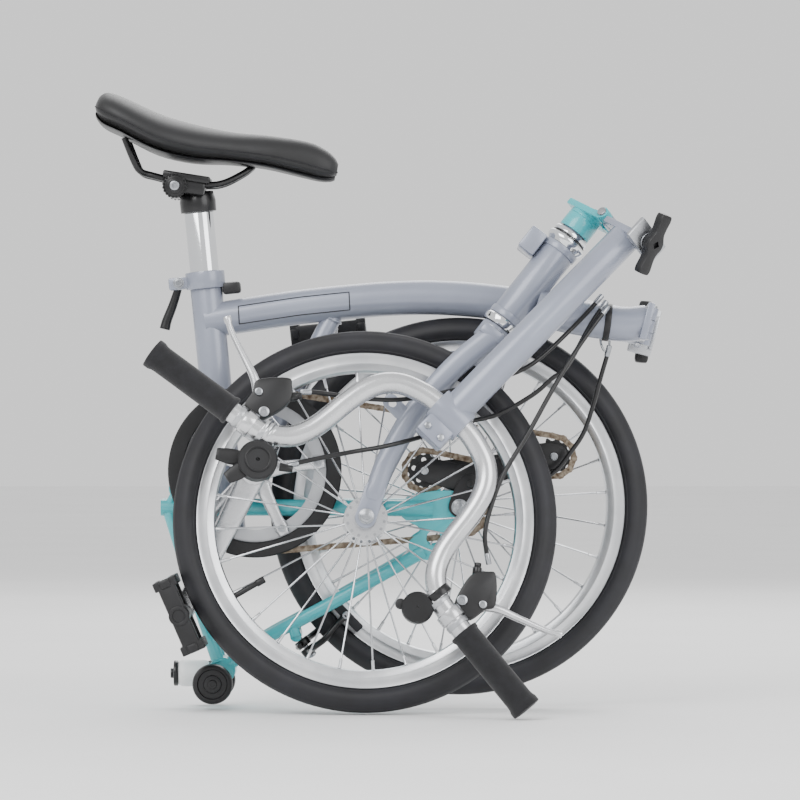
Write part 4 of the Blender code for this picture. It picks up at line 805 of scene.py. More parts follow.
def belt_route(wheels, step=math.radians(6)):
    """A closed loop round wheels given as (x, z, radius, sense): straight runs and arcs in one upright plane."""
    headings = []
    for one, two in zip(wheels, wheels[1:] + wheels[:1]):
        run = math.hypot(two[0] - one[0], two[1] - one[1])
        heading = math.atan2(two[1] - one[1], two[0] - one[0])
        headings.append(heading + math.asin((two[2] * two[3] - one[2] * one[3]) / run))
    route = []
    for i, (x, z, radius, sense) in enumerate(wheels):
        start, end = headings[i - 1], headings[i]
        sweep = (sense * (start - end)) % (2 * math.pi)
        count = max(2, math.ceil(sweep / step))
        for k in range(count + 1):
            turn = start - sense * sweep * k / count
            route.append(Vector((x - sense * radius * math.sin(turn), 0, z + sense * radius * math.cos(turn))))
    return route


JOCKEYS = (Vector((-0.3299, CHAIN_LINE, 0.1773)), Vector((-0.4625, CHAIN_LINE, 0.1288)))
TENSIONER_PIVOT = Vector((-0.3818, CHAIN_LINE, 0.1792))


def spaced(route, count):
    """As many places as asked, equally far apart along a closed route."""
    loop = route + [route[0]]
    runs = [(b - a).length for a, b in zip(loop, loop[1:])]
    whole, out, span, done = sum(runs), [], 0, 0.0
    for k in range(count):
        at = whole * k / count
        while done + runs[span] < at:
            done += runs[span]
            span += 1
        share = (at - done) / max(runs[span], 1e-9)
        out.append(loop[span].lerp(loop[span + 1], share))
    return out


def add_chain():
    """Half links on the folded run: inner and outer plates in turn, with a roller at every pin."""
    into = PACKAGE.inverted()
    wheels = []
    for group, centre, radius, sense in ((MAIN, BRACKET, 0.0889, 1), (REAR, JOCKEYS[1], 0.0222, 1),
                                         (REAR, JOCKEYS[0], 0.0222, -1), (REAR, REAR_HUB, 0.0312, 1)):
        place = into @ group @ Vector((centre.x, 0, centre.z))
        wheels.append((place.x, place.z, radius, sense))
    route = belt_route(wheels)
    length = sum((b - a).length for a, b in zip(route, route[1:] + route[:1]))
    count = 2 * round(length / CHAIN_PITCH / 2)
    pins = spaced(route, count)
    pitch = (pins[1] - pins[0]).length
    figure = []
    for i in range(16):
        turn = 2 * math.pi * (i + 0.5) / 16
        figure.append((0.0040 * math.cos(turn) + math.copysign(pitch / 2, math.cos(turn)),
                       (0.0040 - 0.0009 * math.exp(-(math.cos(turn) * 2.2) ** 2)) * math.sin(turn)))
    ring_centre = Vector((wheels[0][0], 0, wheels[0][1]))
    wrapped = [k for k, pin in enumerate(pins) if (pin - ring_centre).length < 0.0889 + 0.0005]
    running = [k for k in range(count) if k not in wrapped]
    links = [plate(figure, 0.0009, (0, side * 0.0024 + outer * side * 0.0010, 0), edge=0)
             for outer in (0, 1) for side in (-1, 1)]
    pin = rod((0, -0.0042, 0), (0, 0.0042, 0), 0.0018, sides=10, edge=0)
    roller = rod((0, -0.0018, 0), (0, 0.0018, 0), 0.0036, sides=12, edge=0)
    for name, share, body, stands_for in (("chain_on_ring", wrapped, "frame", ["chain"]),
                                          ("chain_runs", running, "rear", [])):
        shapes = []
        for outer in (0, 1):
            places = []
            for k in share:
                if k % 2 == outer:
                    one, two = pins[k], pins[(k + 1) % count]
                    lean = -math.atan2(two.z - one.z, two.x - one.x)
                    places.append(placed((one + two) / 2 + LEFT * CHAIN_LINE, Matrix.Rotation(lean, 3, "Y")))
            for shape in links[2 * outer:2 * outer + 2]:
                shapes += repeated(shape, places, keep=True)
        spots = [placed(pins[k] + LEFT * CHAIN_LINE) for k in share]
        shapes += repeated(pin, spots, keep=True) + repeated(roller, spots, keep=True)
        piece(name, shapes, "chain_steel", PACKAGE, body, stands_for)
    for shape in links + [pin, roller]:
        bpy.data.objects.remove(shape)


# ---------------------------------------------------------------- wheels

def add_wheel(name, group, body, hub, half, flange, shell, lead):
    w = 0.0175
    tread = [(RIM_OUTER + 0.0003, -0.0104), (0.1835, -0.0128), (0.1870, -0.0160), (0.1908, -w), (0.1950, -0.0169),
             (0.1990, -0.0146), (0.2022, -0.0118), (0.2030, -0.0106), (0.2040, -0.0100), (0.2056, -0.0066),
             (0.2061, -0.0044), (0.2054, -0.0038), (0.2063, -0.0032), (WHEEL_RADIUS, 0.0)]
    tread += [(r, -y) for r, y in tread[-2::-1]]
    tyre = lathe(tread, hub, LEFT, 128)
    beads = [ring(0.1838, 0.1845, side * 0.0133 - 0.0004, side * 0.0133 + 0.0004, hub, LEFT, 96) for side in (-1, 1)]
    piece(name + "_tyre_casing", [tyre] + beads, "tyre_rubber", group, body, [name + "_tyre"], 40)
    rim = [(RIM_INNER, -0.0052), (RIM_INNER + 0.0016, -0.0080), (0.1690, -0.0110), (0.1700, -0.0112),
           (0.1706, -0.0109), (0.1800, -0.0109), (RIM_OUTER, -0.0115), (RIM_OUTER, 0.0115), (0.1800, 0.0109),
           (0.1706, 0.0109), (0.1700, 0.0112), (0.1690, 0.0110), (RIM_INNER + 0.0016, 0.0080),
           (RIM_INNER, 0.0052)]
    piece(name + "_rim_hoop", [lathe(rim, hub, LEFT, 128)], "brake_track", group, body, [name + "_rim"])
    edge = half * 0.72
    outline = [(0.0048, -half), (0.0048, half), (shell * 0.78, half), (shell * 0.84, half - 0.0012),
               (shell * 0.88, edge + 0.003), (shell, edge + 0.0005), (flange - 0.001, edge), (flange, edge - 0.0008),
               (flange, edge - 0.0022), (flange - 0.001, edge - 0.003), (shell + 0.001, edge - 0.0038),
               (shell * 0.86, edge - 0.008), (shell * 0.80, 0)]
    outline += [(r, -y) for r, y in outline[-2:1:-1]]
    shapes = [lathe(outline, hub, LEFT, 64)]
    holes, nipples, spots, ends = [], [], [], []
    for k in range(SPOKES):
        side = 1 if k % 2 else -1
        turn = 2 * math.pi * (k + 0.5) / SPOKES
        radial = Quaternion(LEFT, turn) @ Vector((1, 0, 0))
        swing = lead * (1 if (k // 2) % 2 else -1)
        root = Quaternion(LEFT, turn + swing) @ Vector((1, 0, 0))
        start = hub + root * (flange - 0.0035) + LEFT * side * (edge - 0.0015)
        end = hub + radial * (RIM_INNER - 0.0009) + LEFT * side * 0.0015
        out = (end - start).normalized()
        spots.append(placed(start, frame_of(out) @ Matrix.Diagonal((1, 1, (end - start).length))))
        ends.append(placed(end - out * 0.010, frame_of(out)))
        holes.append(placed(start - LEFT * side * 0.0, frame_of(LEFT)))
    wire = rod((0, 0, 0), (0, 0, 1), 0.0010, sides=8, edge=0)
    nipple = lathe([(0.0010, 0), (0.0017, 0.0006), (0.0017, 0.0088), (0.0021, 0.0098), (0.0021, 0.0108),
                    (0.0010, 0.0108)], (0, 0, 0), (0, 0, 1), 10)
    head = rod((0, 0, -0.0026), (0, 0, 0.0026), 0.0017, sides=10, edge=0)
    piece(name + "_hub_shell", shapes, "polished_aluminium", group, body, [name + "_hub"])
    piece(name + "_spokes", repeated(wire, spots) + repeated(head, holes), "spoke_steel", group, body)
    piece(name + "_nipples", repeated(nipple, ends), "brake_track", group, body)
    valve_way = Quaternion(LEFT, math.radians(95)) @ Vector((1, 0, 0))
    valve = rod(hub + valve_way * (RIM_INNER + 0.001), hub + valve_way * (RIM_INNER - 0.030), 0.0029, sides=16)
    cap = rod(hub + valve_way * (RIM_INNER - 0.026), hub + valve_way * (RIM_INNER - 0.036), 0.0039, sides=20)
    piece(name + "_valve", [valve, cap], "black_plastic", group, body)


def add_axle(name, group, body, hub, left_face, right_face, nut, stands_for):
    shapes = [rod(hub - LEFT * (right_face + 0.0080), hub + LEFT * (left_face + 0.0080), 0.0044)]
    for side, face in ((1, left_face), (-1, right_face)):
        face_at = hub + LEFT * side * face
        shapes.append(rod(face_at + LEFT * side * 0.0003, face_at + LEFT * side * 0.0014, nut * 1.06, sides=40))
        shapes.append(hex_nut(face_at + LEFT * side * 0.0012, LEFT * side, nut, 0.0050))
    piece(name, shapes, "zinc_steel", group, body, [stands_for])


# ---------------------------------------------------------------- brakes

REAR_BRAKE = (REAR_HUB, math.radians(52.2), 0.2269, 1, 0.0115)
FRONT_BRAKE = (FRONT_HUB, math.radians(110.0), 0.2400, -1, 0.0240)


def brake_directions(angle, lead):
    """Outward from the hub, and along the rim towards the open side of the calliper."""
    return Vector((math.cos(angle), 0, math.sin(angle))), Vector((-math.sin(angle), 0, math.cos(angle))) * lead


def flat_arm(route, flat_way, wide, thick, points=16):
    """A forged arm: a flattened bar along a route, tapering to its end."""
    rings = []
    for i, place in enumerate(route):
        along = route[min(i + 1, len(route) - 1)] - route[max(i - 1, 0)]
        share = 1 - 0.35 * i / (len(route) - 1)
        rings.append(oval_ring(place, along, flat_way, thick, wide * share, points))
    return loft(rings)


def add_brake(prefix, group, hub, angle, mount_radius, lead, first):
    out, along = brake_directions(angle, lead)
    for side, name, near in ((1, "left", first), (-1, "right", first + 0.0105)):
        level = hub + out * mount_radius + along * near
        inward = (level - hub).normalized() * 1.0
        pad_at = hub + inward * (RIM_INNER + RIM_OUTER) / 2 + LEFT * side * 0.0180
        reach = [level, level + LEFT * side * 0.020 - out * 0.006, level + LEFT * side * 0.0300 - out * 0.024,
                 pad_at + LEFT * side * 0.0110 + inward * 0.012, pad_at + LEFT * side * 0.0060]
        tail = [level, level - LEFT * side * 0.016 + out * 0.006, level - LEFT * side * 0.0300 + out * 0.004]
        shapes = [flat_arm(through(reach, 5), along, 0.0052, 0.0036),
                  flat_arm(through(tail, 5), along, 0.0042, 0.0030),
                  ring(0.0033, 0.0085, -0.0044, 0.0044, level, along, 32, 0.0008)]
        body = "%s_%s_arm" % (prefix, name)
        piece(body + "_forging", shapes, "black_metal", group, body, ["%s_brake_arm_%s" % (prefix, name)])
        pad = block((0.044, 0.0074, 0.0100), pad_at, frame_of(inward, along), 0.0016)
        piece(body + "_pad", [pad], "tyre_rubber", group, body)
        stud = [socket_screw(pad_at + LEFT * side * 0.0085, LEFT * side, 0.0042, 0.0032),
                rod(pad_at + LEFT * side * 0.002, pad_at + LEFT * side * 0.0090, 0.0028, sides=20)]
        piece(body + "_screw", stud, "zinc_steel", group, body)


def add_brake_bolt(name, group, body, hub, angle, mount_radius, lead, first):
    """The bolt that both arms turn on, with the nut in front of them."""
    out, along = brake_directions(angle, lead)
    pivot = hub + out * mount_radius
    end = pivot + along * (first + 0.0150)
    piece(name, [rod(pivot, pivot + along * (first + 0.0188), 0.0030, sides=24), hex_nut(end, along, 0.0055, 0.0030)],
          "zinc_steel", group, body)


# ---------------------------------------------------------------- rear frame

REAR_HALF = 0.0550
ROLLER_CENTRE = Vector((-0.1619, 0, 0.4575))


def add_rear_frame():
    chain_stay = [(-0.0608, 0.0300, 0.2854), (-0.1200, 0.0300, 0.2710), (-0.2450, 0.0315, 0.2398),
                  (-0.2800, 0.0460, 0.2312), (-0.3250, 0.0570, 0.2205), (-0.3480, 0.0570, 0.2150)]
    seat_stay = [(-0.3500, 0.0570, 0.2620), (-0.3100, 0.0540, 0.3000), (-0.2500, 0.0440, 0.3560),
                 (-0.2060, 0.0330, 0.3960), (-0.1740, 0.0270, 0.4330)]
    strut = [(-0.0700, 0.0300, 0.2860), (-0.1150, 0.0290, 0.3600), (-0.1600, 0.0270, 0.4310)]
    dropout = [(-0.318, 0.232), (-0.318, 0.212), (-0.345, 0.196), (-0.376, 0.190), (-0.390, 0.196), (-0.3935, 0.208),
               (-0.386, 0.226), (-0.378, 0.252), (-0.360, 0.270), (-0.338, 0.268), (-0.332, 0.255), (-0.342, 0.240)]
    shapes = [rod((-0.1680, -0.034, 0.4415), (-0.1680, 0.034, 0.4415), 0.0145, sides=48),
              rod(ROLLER_CENTRE - LEFT * 0.0370, ROLLER_CENTRE + LEFT * 0.0370, 0.0066),
              rod((-0.2370, -0.040, 0.3860), (-0.2370, 0.040, 0.3860), 0.0062)]
    for side in (-1, 1):
        shapes += [swept(through(mirrored(chain_stay, side), 6), 0.0090, 32),
                   swept(through(mirrored(seat_stay, side), 6), 0.0073, 32),
                   swept(through(mirrored(strut, side), 6), 0.0073, 32)]
        hole = Vector((-0.3570, side * 0.057, 0.2460))
        shapes.append(plate([tuple(p)[::2] for p in through([(x, 0, z) for x, z in dropout], 3, True)], 0.004,
                            LEFT * side * (REAR_HALF + 0.002), holes=[
                                rod(hole - LEFT * 0.01, hole + LEFT * 0.01, 0.0080, sides=32, edge=0),
                                rod(REAR_HUB + LEFT * side * 0.05, REAR_HUB + LEFT * side * 0.065, 0.0049, edge=0)]))
        lug = REAR_PIVOT + LEFT * side * 0.0320
        shapes += [ring(0.0053, 0.0130, -0.0053, 0.0053, lug, LEFT, 40, 0.0008),
                   rod(lug + Vector((0.004, 0, 0.006)), (-0.0680, side * 0.0320, 0.2840), 0.0052),
                   rod((-0.2370, side * 0.0390, 0.3860), (-0.2300, side * 0.0390, 0.3730), 0.0060),
                   bead((-0.1615, side * 0.0268, 0.4330), (-0.6, 0, 1), 0.0076, 0.0014)]
    piece("rear_frame_tubes", shapes, "turquoise_paint", REAR, "rear", ["rear_frame"])
    ends = [rod(REAR_PIVOT - LEFT * 0.0385, REAR_PIVOT + LEFT * 0.0385, 0.0050)]
    ends += [socket_screw(REAR_PIVOT + LEFT * side * 0.0375, LEFT * side, 0.0072, 0.0030) for side in (-1, 1)]
    piece("rear_pivot_bolt", ends, "zinc_steel", REAR, "rear", ["rear_pivot_pin"])
    add_axle("rear_axle_nuts", REAR, "rear", REAR_HUB, REAR_HALF + 0.0040, REAR_HALF + 0.0070, 0.0085, "rear_axle")
    add_brake_bolt("rear_brake_bolt", REAR, "rear", *REAR_BRAKE)


def add_suspension():
    way = Vector((math.cos(math.radians(13.8)), 0, math.sin(math.radians(13.8))))
    start = Vector((-0.1690, 0, 0.4400)) + way * 0.0150 + Vector((0, 0, 0.006))
    outline = [(0.0040, 0), (0.0118, 0), (0.0130, 0.0010), (0.0143, 0.0040), (0.0145, 0.0080), (0.0145, 0.0250),
               (0.0143, 0.0295), (0.0130, 0.0325), (0.0118, 0.0335), (0.0040, 0.0335)]
    piece("suspension_spring", [lathe(outline, start, way, 64)], "white_elastomer", REAR, "rear", ["suspension_block"])
    end = start + way * 0.0338
    cap = [rod(end, end + way * 0.005, 0.0140, sides=48, edge=0.0012), socket_screw(end + way * 0.0045, way, 0.0055, 0.004),
           rod(start + way * 0.003, end + way * 0.001, 0.0036)]
    piece("suspension_cap", cap, "black_metal", REAR, "rear", ["suspension_bolt"])


def add_rollers():
    for side, name in ((-1, "right"), (1, "left")):
        centre = ROLLER_CENTRE + LEFT * side * 0.0480
        outline = [(0.0053, -0.0090), (0.0188, -0.0090), (0.0208, -0.0080), (0.0218, -0.0060), (0.0220, 0),
                   (0.0218, 0.0060), (0.0208, 0.0080), (0.0188, 0.0090), (0.0165, 0.0090), (0.0155, 0.0070),
                   (0.0100, 0.0070), (0.0092, 0.0090), (0.0053, 0.0090)]
        wheel = lathe(outline, centre, LEFT * side, 64)
        piece(name + "_roller_wheel", [wheel], "black_plastic", REAR, name + "_roller", ["roller_" + name])
        face = centre + LEFT * side * 0.0075
        bolt = [ring(0.0030, 0.0088, 0, 0.0016, face, LEFT * side, 36, 0.0004),
                socket_screw(face + LEFT * side * 0.0012, LEFT * side, 0.0050, 0.0034),
                rod(centre - LEFT * side * 0.012, face + LEFT * side * 0.002, 0.0048)]
        piece(name + "_roller_bolt", bolt, "black_metal", REAR, "rear")


def add_tensioner():
    one, two = JOCKEYS
    outline = [(-0.3190, 0.1790), (-0.3240, 0.1690), (-0.3400, 0.1620), (-0.3820, 0.1580), (-0.4300, 0.1260),
               (-0.4560, 0.1150), (-0.4740, 0.1190), (-0.4760, 0.1380), (-0.4600, 0.1440), (-0.4250, 0.1600),
               (-0.4020, 0.1860), (-0.3880, 0.1960), (-0.3740, 0.1920), (-0.3400, 0.1890), (-0.3250, 0.1880)]
    smoothed = [tuple(p)[::2] for p in through([(x, 0, z) for x, z in outline], 4, True)]
    link = two - one
    inner = oval(link.length / 2 + 0.0090, 0.0090, 32, ((one.x + two.x) / 2, (one.z + two.z) / 2),
                 math.atan2(link.z, link.x))
    shapes = [plate(smoothed, 0.0022, LEFT * (CHAIN_LINE - 0.0058)), plate(inner, 0.0022, LEFT * (CHAIN_LINE + 0.0058))]
    shapes += [rod(j - LEFT * 0.0065, j + LEFT * 0.0065, 0.0032) for j in JOCKEYS]
    shapes.append(ring(0.0043, 0.0120, -0.0074, -0.0066, TENSIONER_PIVOT, LEFT, 40, 0.0003))
    piece("tensioner_plates", shapes, "black_metal", REAR, "tensioner", ["tensioner_arm"])
    heads = [socket_screw(j - LEFT * 0.0066, -LEFT, 0.0044, 0.0020) for j in JOCKEYS]
    piece("tensioner_bolts", heads, "zinc_steel", REAR, "tensioner")
    for centre, name, node in ((one, "front_jockey", "jockey_front"), (two, "rear_jockey", "jockey_rear")):
        rim = []
        teeth = 11
        for i in range(teeth):
            for share, radius in ((0.0, 0.0178), (0.22, 0.0208), (0.38, 0.0208), (0.60, 0.0178), (0.80, 0.0170)):
                turn = 2 * math.pi * (i + share) / teeth
                rim.append((radius * math.cos(turn), radius * math.sin(turn)))
        wheel = plate(rim, 0.0026, centre, edge=0)
        cut(wheel, rod(centre - LEFT * 0.01, centre + LEFT * 0.01, 0.0035, edge=0))
        for k in range(5):
            spot = centre + Quaternion(LEFT, 2 * math.pi * k / 5) @ Vector((0.0118, 0, 0))
            cut(wheel, rod(spot - LEFT * 0.01, spot + LEFT * 0.01, 0.0027, sides=20, edge=0))
        boss = ring(0.0035, 0.0072, -0.0032, 0.0032, centre, LEFT, 32, 0.0004)
        piece(name + "_teeth", [wheel, boss], "black_plastic", REAR, name, [node])
    bracket = [(-0.3640, 0.2060), (-0.3700, 0.1740), (-0.3810, 0.1690), (-0.3920, 0.1750), (-0.3900, 0.2060),
               (-0.3830, 0.2165), (-0.3710, 0.2165)]
    smoothed = [tuple(p)[::2] for p in through([(x, 0, z) for x, z in bracket], 4, True)]
    face = -(REAR_HALF + 0.0043)
    hole = [rod(REAR_HUB - LEFT * 0.050, REAR_HUB - LEFT * 0.080, 0.0048, edge=0)]
    stub = rod(TENSIONER_PIVOT - LEFT * 0.0073, TENSIONER_PIVOT - LEFT * 0.0160, 0.0065)
    pin = rod(TENSIONER_PIVOT - LEFT * 0.0042, TENSIONER_PIVOT - LEFT * 0.0200, 0.0040)
    piece("tensioner_hanger", [plate(smoothed, 0.0025, LEFT * (face - 0.00125), holes=hole), stub, pin],
          "black_metal", REAR, "rear", ["tensioner_bracket"])
    teeth, rim = 13, []
    for i in range(teeth):
        for share, radius in ((0.0, 0.0258), (0.22, 0.0288), (0.38, 0.0288), (0.60, 0.0258), (0.80, 0.0250)):
            turn = 2 * math.pi * (i + share) / teeth
            rim.append((radius * math.cos(turn), radius * math.sin(turn)))
    sprocket = plate(rim, 0.0026, REAR_HUB + LEFT * CHAIN_LINE, edge=0)
    cut(sprocket, rod(REAR_HUB + LEFT * (CHAIN_LINE - 0.01), REAR_HUB + LEFT * (CHAIN_LINE + 0.01), 0.0172, edge=0))
    piece("sprocket_teeth", [sprocket], "zinc_steel", REAR, "rear_wheel", ["rear_sprocket"])


# ---------------------------------------------------------------- front half

def along_steerer(height, forward=0.0, left=0.0):
    return HEAD_POINT + STEER_AXIS * height + STEER_FORWARD * forward + LEFT * left


def add_front_frame():
    route = [frame_hinge.spot(0.034, PLATE / 2, 0), Vector((0.4228, 0, 0.5000)), Vector((0.4492, 0, 0.4930)),
             Vector((0.4927, 0, 0.4850)), Vector((0.5200, 0, 0.4836))]
    turn = frame_of(STEER_AXIS, STEER_FORWARD)
    shapes = [swept(through(route, 5), 0.0190, 44),
              ring(0.0156, 0.0190, -0.0985, 0.0035, HEAD_POINT, STEER_AXIS, 56, 0.0006),
              ring(0.0156, 0.0205, -0.0985, -0.0905, HEAD_POINT, STEER_AXIS, 56, 0.0008),
              ring(0.0156, 0.0205, -0.0045, 0.0035, HEAD_POINT, STEER_AXIS, 56, 0.0008),
              bead((0.4995, 0, 0.4845), (1, 0, -0.03), 0.0192, 0.0018)] + frame_hinge.half(1)
    piece("front_frame_tubes", shapes, "grey_paint", FRONT, "front", ["front_frame"])
    mount = block((0.020, 0.034, 0.028), along_steerer(-0.0120, 0.029), turn, 0.0025)
    for left in (-0.010, 0.010):
        spot = along_steerer(-0.0120, 0.0400, left)
        cut(mount, rod(spot - STEER_FORWARD * 0.006, spot + STEER_FORWARD * 0.004, 0.0034, edge=0))
    piece("luggage_block", [mount], "grey_paint", FRONT, "front")
    cup = [(0.0148, 0.0038), (0.0196, 0.0038), (0.0200, 0.0048), (0.0212, 0.0066), (0.0225, 0.0090), (0.0225, 0.0120),
           (0.0216, 0.0136), (0.0195, 0.0142), (0.0192, 0.0160), (0.0205, 0.0172), (0.0205, 0.0200), (0.0196, 0.0215),
           (0.0148, 0.0215)]
    piece("headset_cup", [lathe(cup, HEAD_POINT, STEER_AXIS, 64)], "chrome", FRONT, "front", ["headset_upper"])
    seal = ring(0.0190, 0.0202, 0.0146, 0.0158, HEAD_POINT, STEER_AXIS, 56, 0.0003)
    piece("headset_seal", [seal], "black_plastic", FRONT, "front")
    lower = lathe([(0.0156, -0.1088), (0.0200, -0.1088), (0.0215, -0.1060), (0.0215, -0.1010), (0.0198, -0.0988),
                   (0.0156, -0.0988)], HEAD_POINT, STEER_AXIS, 56)
    piece("headset_lower_cup", [lower], "chrome", FRONT, "front")
    clip = ring(0.0191, 0.0205, -0.0035, 0.0035, (0.4420, 0, 0.4948), (1, 0, -0.25), 48, 0.0005)
    piece("cable_clip", [clip], "black_plastic", FRONT, "front")


FRONT_HALF = 0.0380


def add_fork():
    turn = frame_of(STEER_AXIS, STEER_FORWARD)
    blade = [(0.5555, 0.0340, 0.4330), (0.5580, 0.0340, 0.3900), (0.5660, 0.0345, 0.3450), (0.5780, 0.0355, 0.3050),
             (0.6000, 0.0385, 0.2600), (0.6190, 0.0405, 0.2320)]
    dropout = oval(0.0270, 0.0115, 32, (0.6290, 0.2180), math.atan2(0.0255, -0.0187))
    shapes = [rod(along_steerer(-0.1240), along_steerer(0.0416), 0.0143, sides=44),
              rod(along_steerer(-0.1300), along_steerer(-0.1094), 0.0185, sides=48, edge=0.0016),
              block((0.028, 0.084, 0.014), along_steerer(-0.1235), turn, 0.0045)]
    for side in (-1, 1):
        path = through(mirrored(blade + [(0.6262, 0.0405, 0.2222)], side), 6)
        rings = []
        for i, place in enumerate(path):
            along = path[min(i + 1, len(path) - 1)] - path[max(i - 1, 0)]
            share = i / (len(path) - 1)
            rings.append(oval_ring(place, along, LEFT, 0.0078 - 0.0046 * share ** 3, 0.0132 - 0.0034 * share, 32))
        shapes.append(loft(rings))
        end = FRONT_HUB + LEFT * side * (FRONT_HALF + 0.0025)
        shapes.append(plate(dropout, 0.0050, LEFT * end.y, holes=[
            rod(end - LEFT * 0.02, end + LEFT * 0.02, 0.0049, edge=0)], edge=0.0010))
    hook = plate(oval(0.016, 0.0085, 28, (0.5590, 0.3010), 0.15), 0.0050, LEFT * -0.0380, edge=0.0010, holes=[
        rod((0.5540, -0.05, 0.3003), (0.5540, -0.03, 0.3003), 0.0042, edge=0)])
    piece("fork_blades", shapes + [hook], "grey_paint", FORK, "steerer", ["fork"])
    add_axle("front_axle_nuts", FORK, "steerer", FRONT_HUB, FRONT_HALF + 0.0050, FRONT_HALF + 0.0050, 0.0080,
             "front_axle")
    add_brake_bolt("front_brake_bolt", FORK, "steerer", *FRONT_BRAKE)
    collar = stem_hinge.half(-1) + [ring(0.0148, 0.0185, 0.0240, 0.0418, HEAD_POINT, STEER_AXIS, 48, 0.0006),
                                    rod(along_steerer(0.0418), along_steerer(0.0490), 0.0185, 0.0165, 48)]
    piece("stem_hinge_collar", collar, "turquoise_paint", FORK, "steerer", ["stem_hinge_base"])
    piece("stem_pin", [frame_hinge_pin_end(stem_hinge)], "zinc_steel", FORK, "steerer", ["stem_hinge_pin"])


# ---------------------------------------------------------------- stem, handlebar and controls

def on_stem(left, height, forward=0.0):
    return STEM_BASE + STEER_AXIS * height + LEFT * left + STEER_FORWARD * forward


BAR_BENDS = [(0.0220, 0.2837), (0.0450, 0.2885), (0.0630, 0.2965), (0.0765, 0.3100), (0.0850, 0.3290),
             (0.0895, 0.3520), (0.0920, 0.3760), (0.0960, 0.3985), (0.1050, 0.4180), (0.1200, 0.4315),
             (0.1400, 0.4403)]
BAR_SLOPE = math.radians(7.3)
BAR_END = 0.2740


def bar_height(left):
    """Height of the bar's straight outer run over the stem's base."""
    return BAR_BENDS[-1][1] + (left - BAR_BENDS[-1][0]) * math.tan(BAR_SLOPE)


def bar_route():
    half = BAR_BENDS + [(BAR_END, bar_height(BAR_END))]
    return [on_stem(-left, height) for left, height in half[::-1]] + [on_stem(*place) for place in half]


def add_stem():
    top = on_stem(0, STEM_LENGTH)
    foot = stem_hinge.spot(0.0354, PLATE * 0.6, 0)
    upright = frame_of(STEER_AXIS, STEER_FORWARD)
    shapes = [rod(foot, on_stem(0, STEM_LENGTH - 0.006), 0.0172, sides=56),
              ring(BAR_RADIUS + 0.0002, 0.0185, -0.0200, 0.0200, top, LEFT, 56, 0.0008)]
    for side in (-1, 1):
        ear = block((0.0098, 0.034, 0.026), on_stem(0, STEM_LENGTH + 0.0240, side * 0.0062), upright, 0.0030)
        shapes.append(ear)
    piece("stem_tube", shapes + stem_hinge.half(1), "grey_paint", STEM, "stem_and_bar", ["stem"])
    bolts = []
    for left in (-0.0095, 0.0095):
        spot = on_stem(left, STEM_LENGTH + 0.0275, 0.0110)
        bolts.append(socket_screw(spot, STEER_FORWARD, 0.0042, 0.0030))
        bolts.append(hex_nut(on_stem(left, STEM_LENGTH + 0.0275, -0.0110), -STEER_FORWARD, 0.0042, 0.0026))
    piece("stem_ear_bolts", bolts, "zinc_steel", STEM, "stem_and_bar")


def bar_outward(side):
    return LEFT * side * math.cos(BAR_SLOPE) + STEER_AXIS * math.sin(BAR_SLOPE)


def add_handlebar():
    piece("bar_tube", [swept(through(bar_route(), 5), BAR_RADIUS, 44)], "polished_aluminium", STEM, "stem_and_bar",
          ["handlebar"])
    for side, name in ((1, "left"), (-1, "right")):
        outward = bar_outward(side)
        start = on_stem(side * 0.1650, bar_height(0.1650))
        outline = [(0.0117, 0.004), (0.0152, 0.004), (0.0160, 0.0048), (0.0160, 0.0080), (0.0152, 0.0092),
                   (0.0147, 0.0105), (0.0148, 0.0960), (0.0152, 0.1000), (0.0163, 0.1030), (0.0165, 0.1050),
                   (0.0165, 0.1085), (0.0160, 0.1098), (0.0146, 0.1100), (0.0117, 0.1095)]
        piece("foam_grip_" + name, [lathe(outline, start, outward, 56)], "grip_foam", STEM, "stem_and_bar",
              ["grip_" + name])
        plug = rod(start + outward * 0.1060, start + outward * 0.1105, 0.0125, sides=40, edge=0.0010)
        piece("bar_plug_" + name, [plug], "black_plastic", STEM, "stem_and_bar")


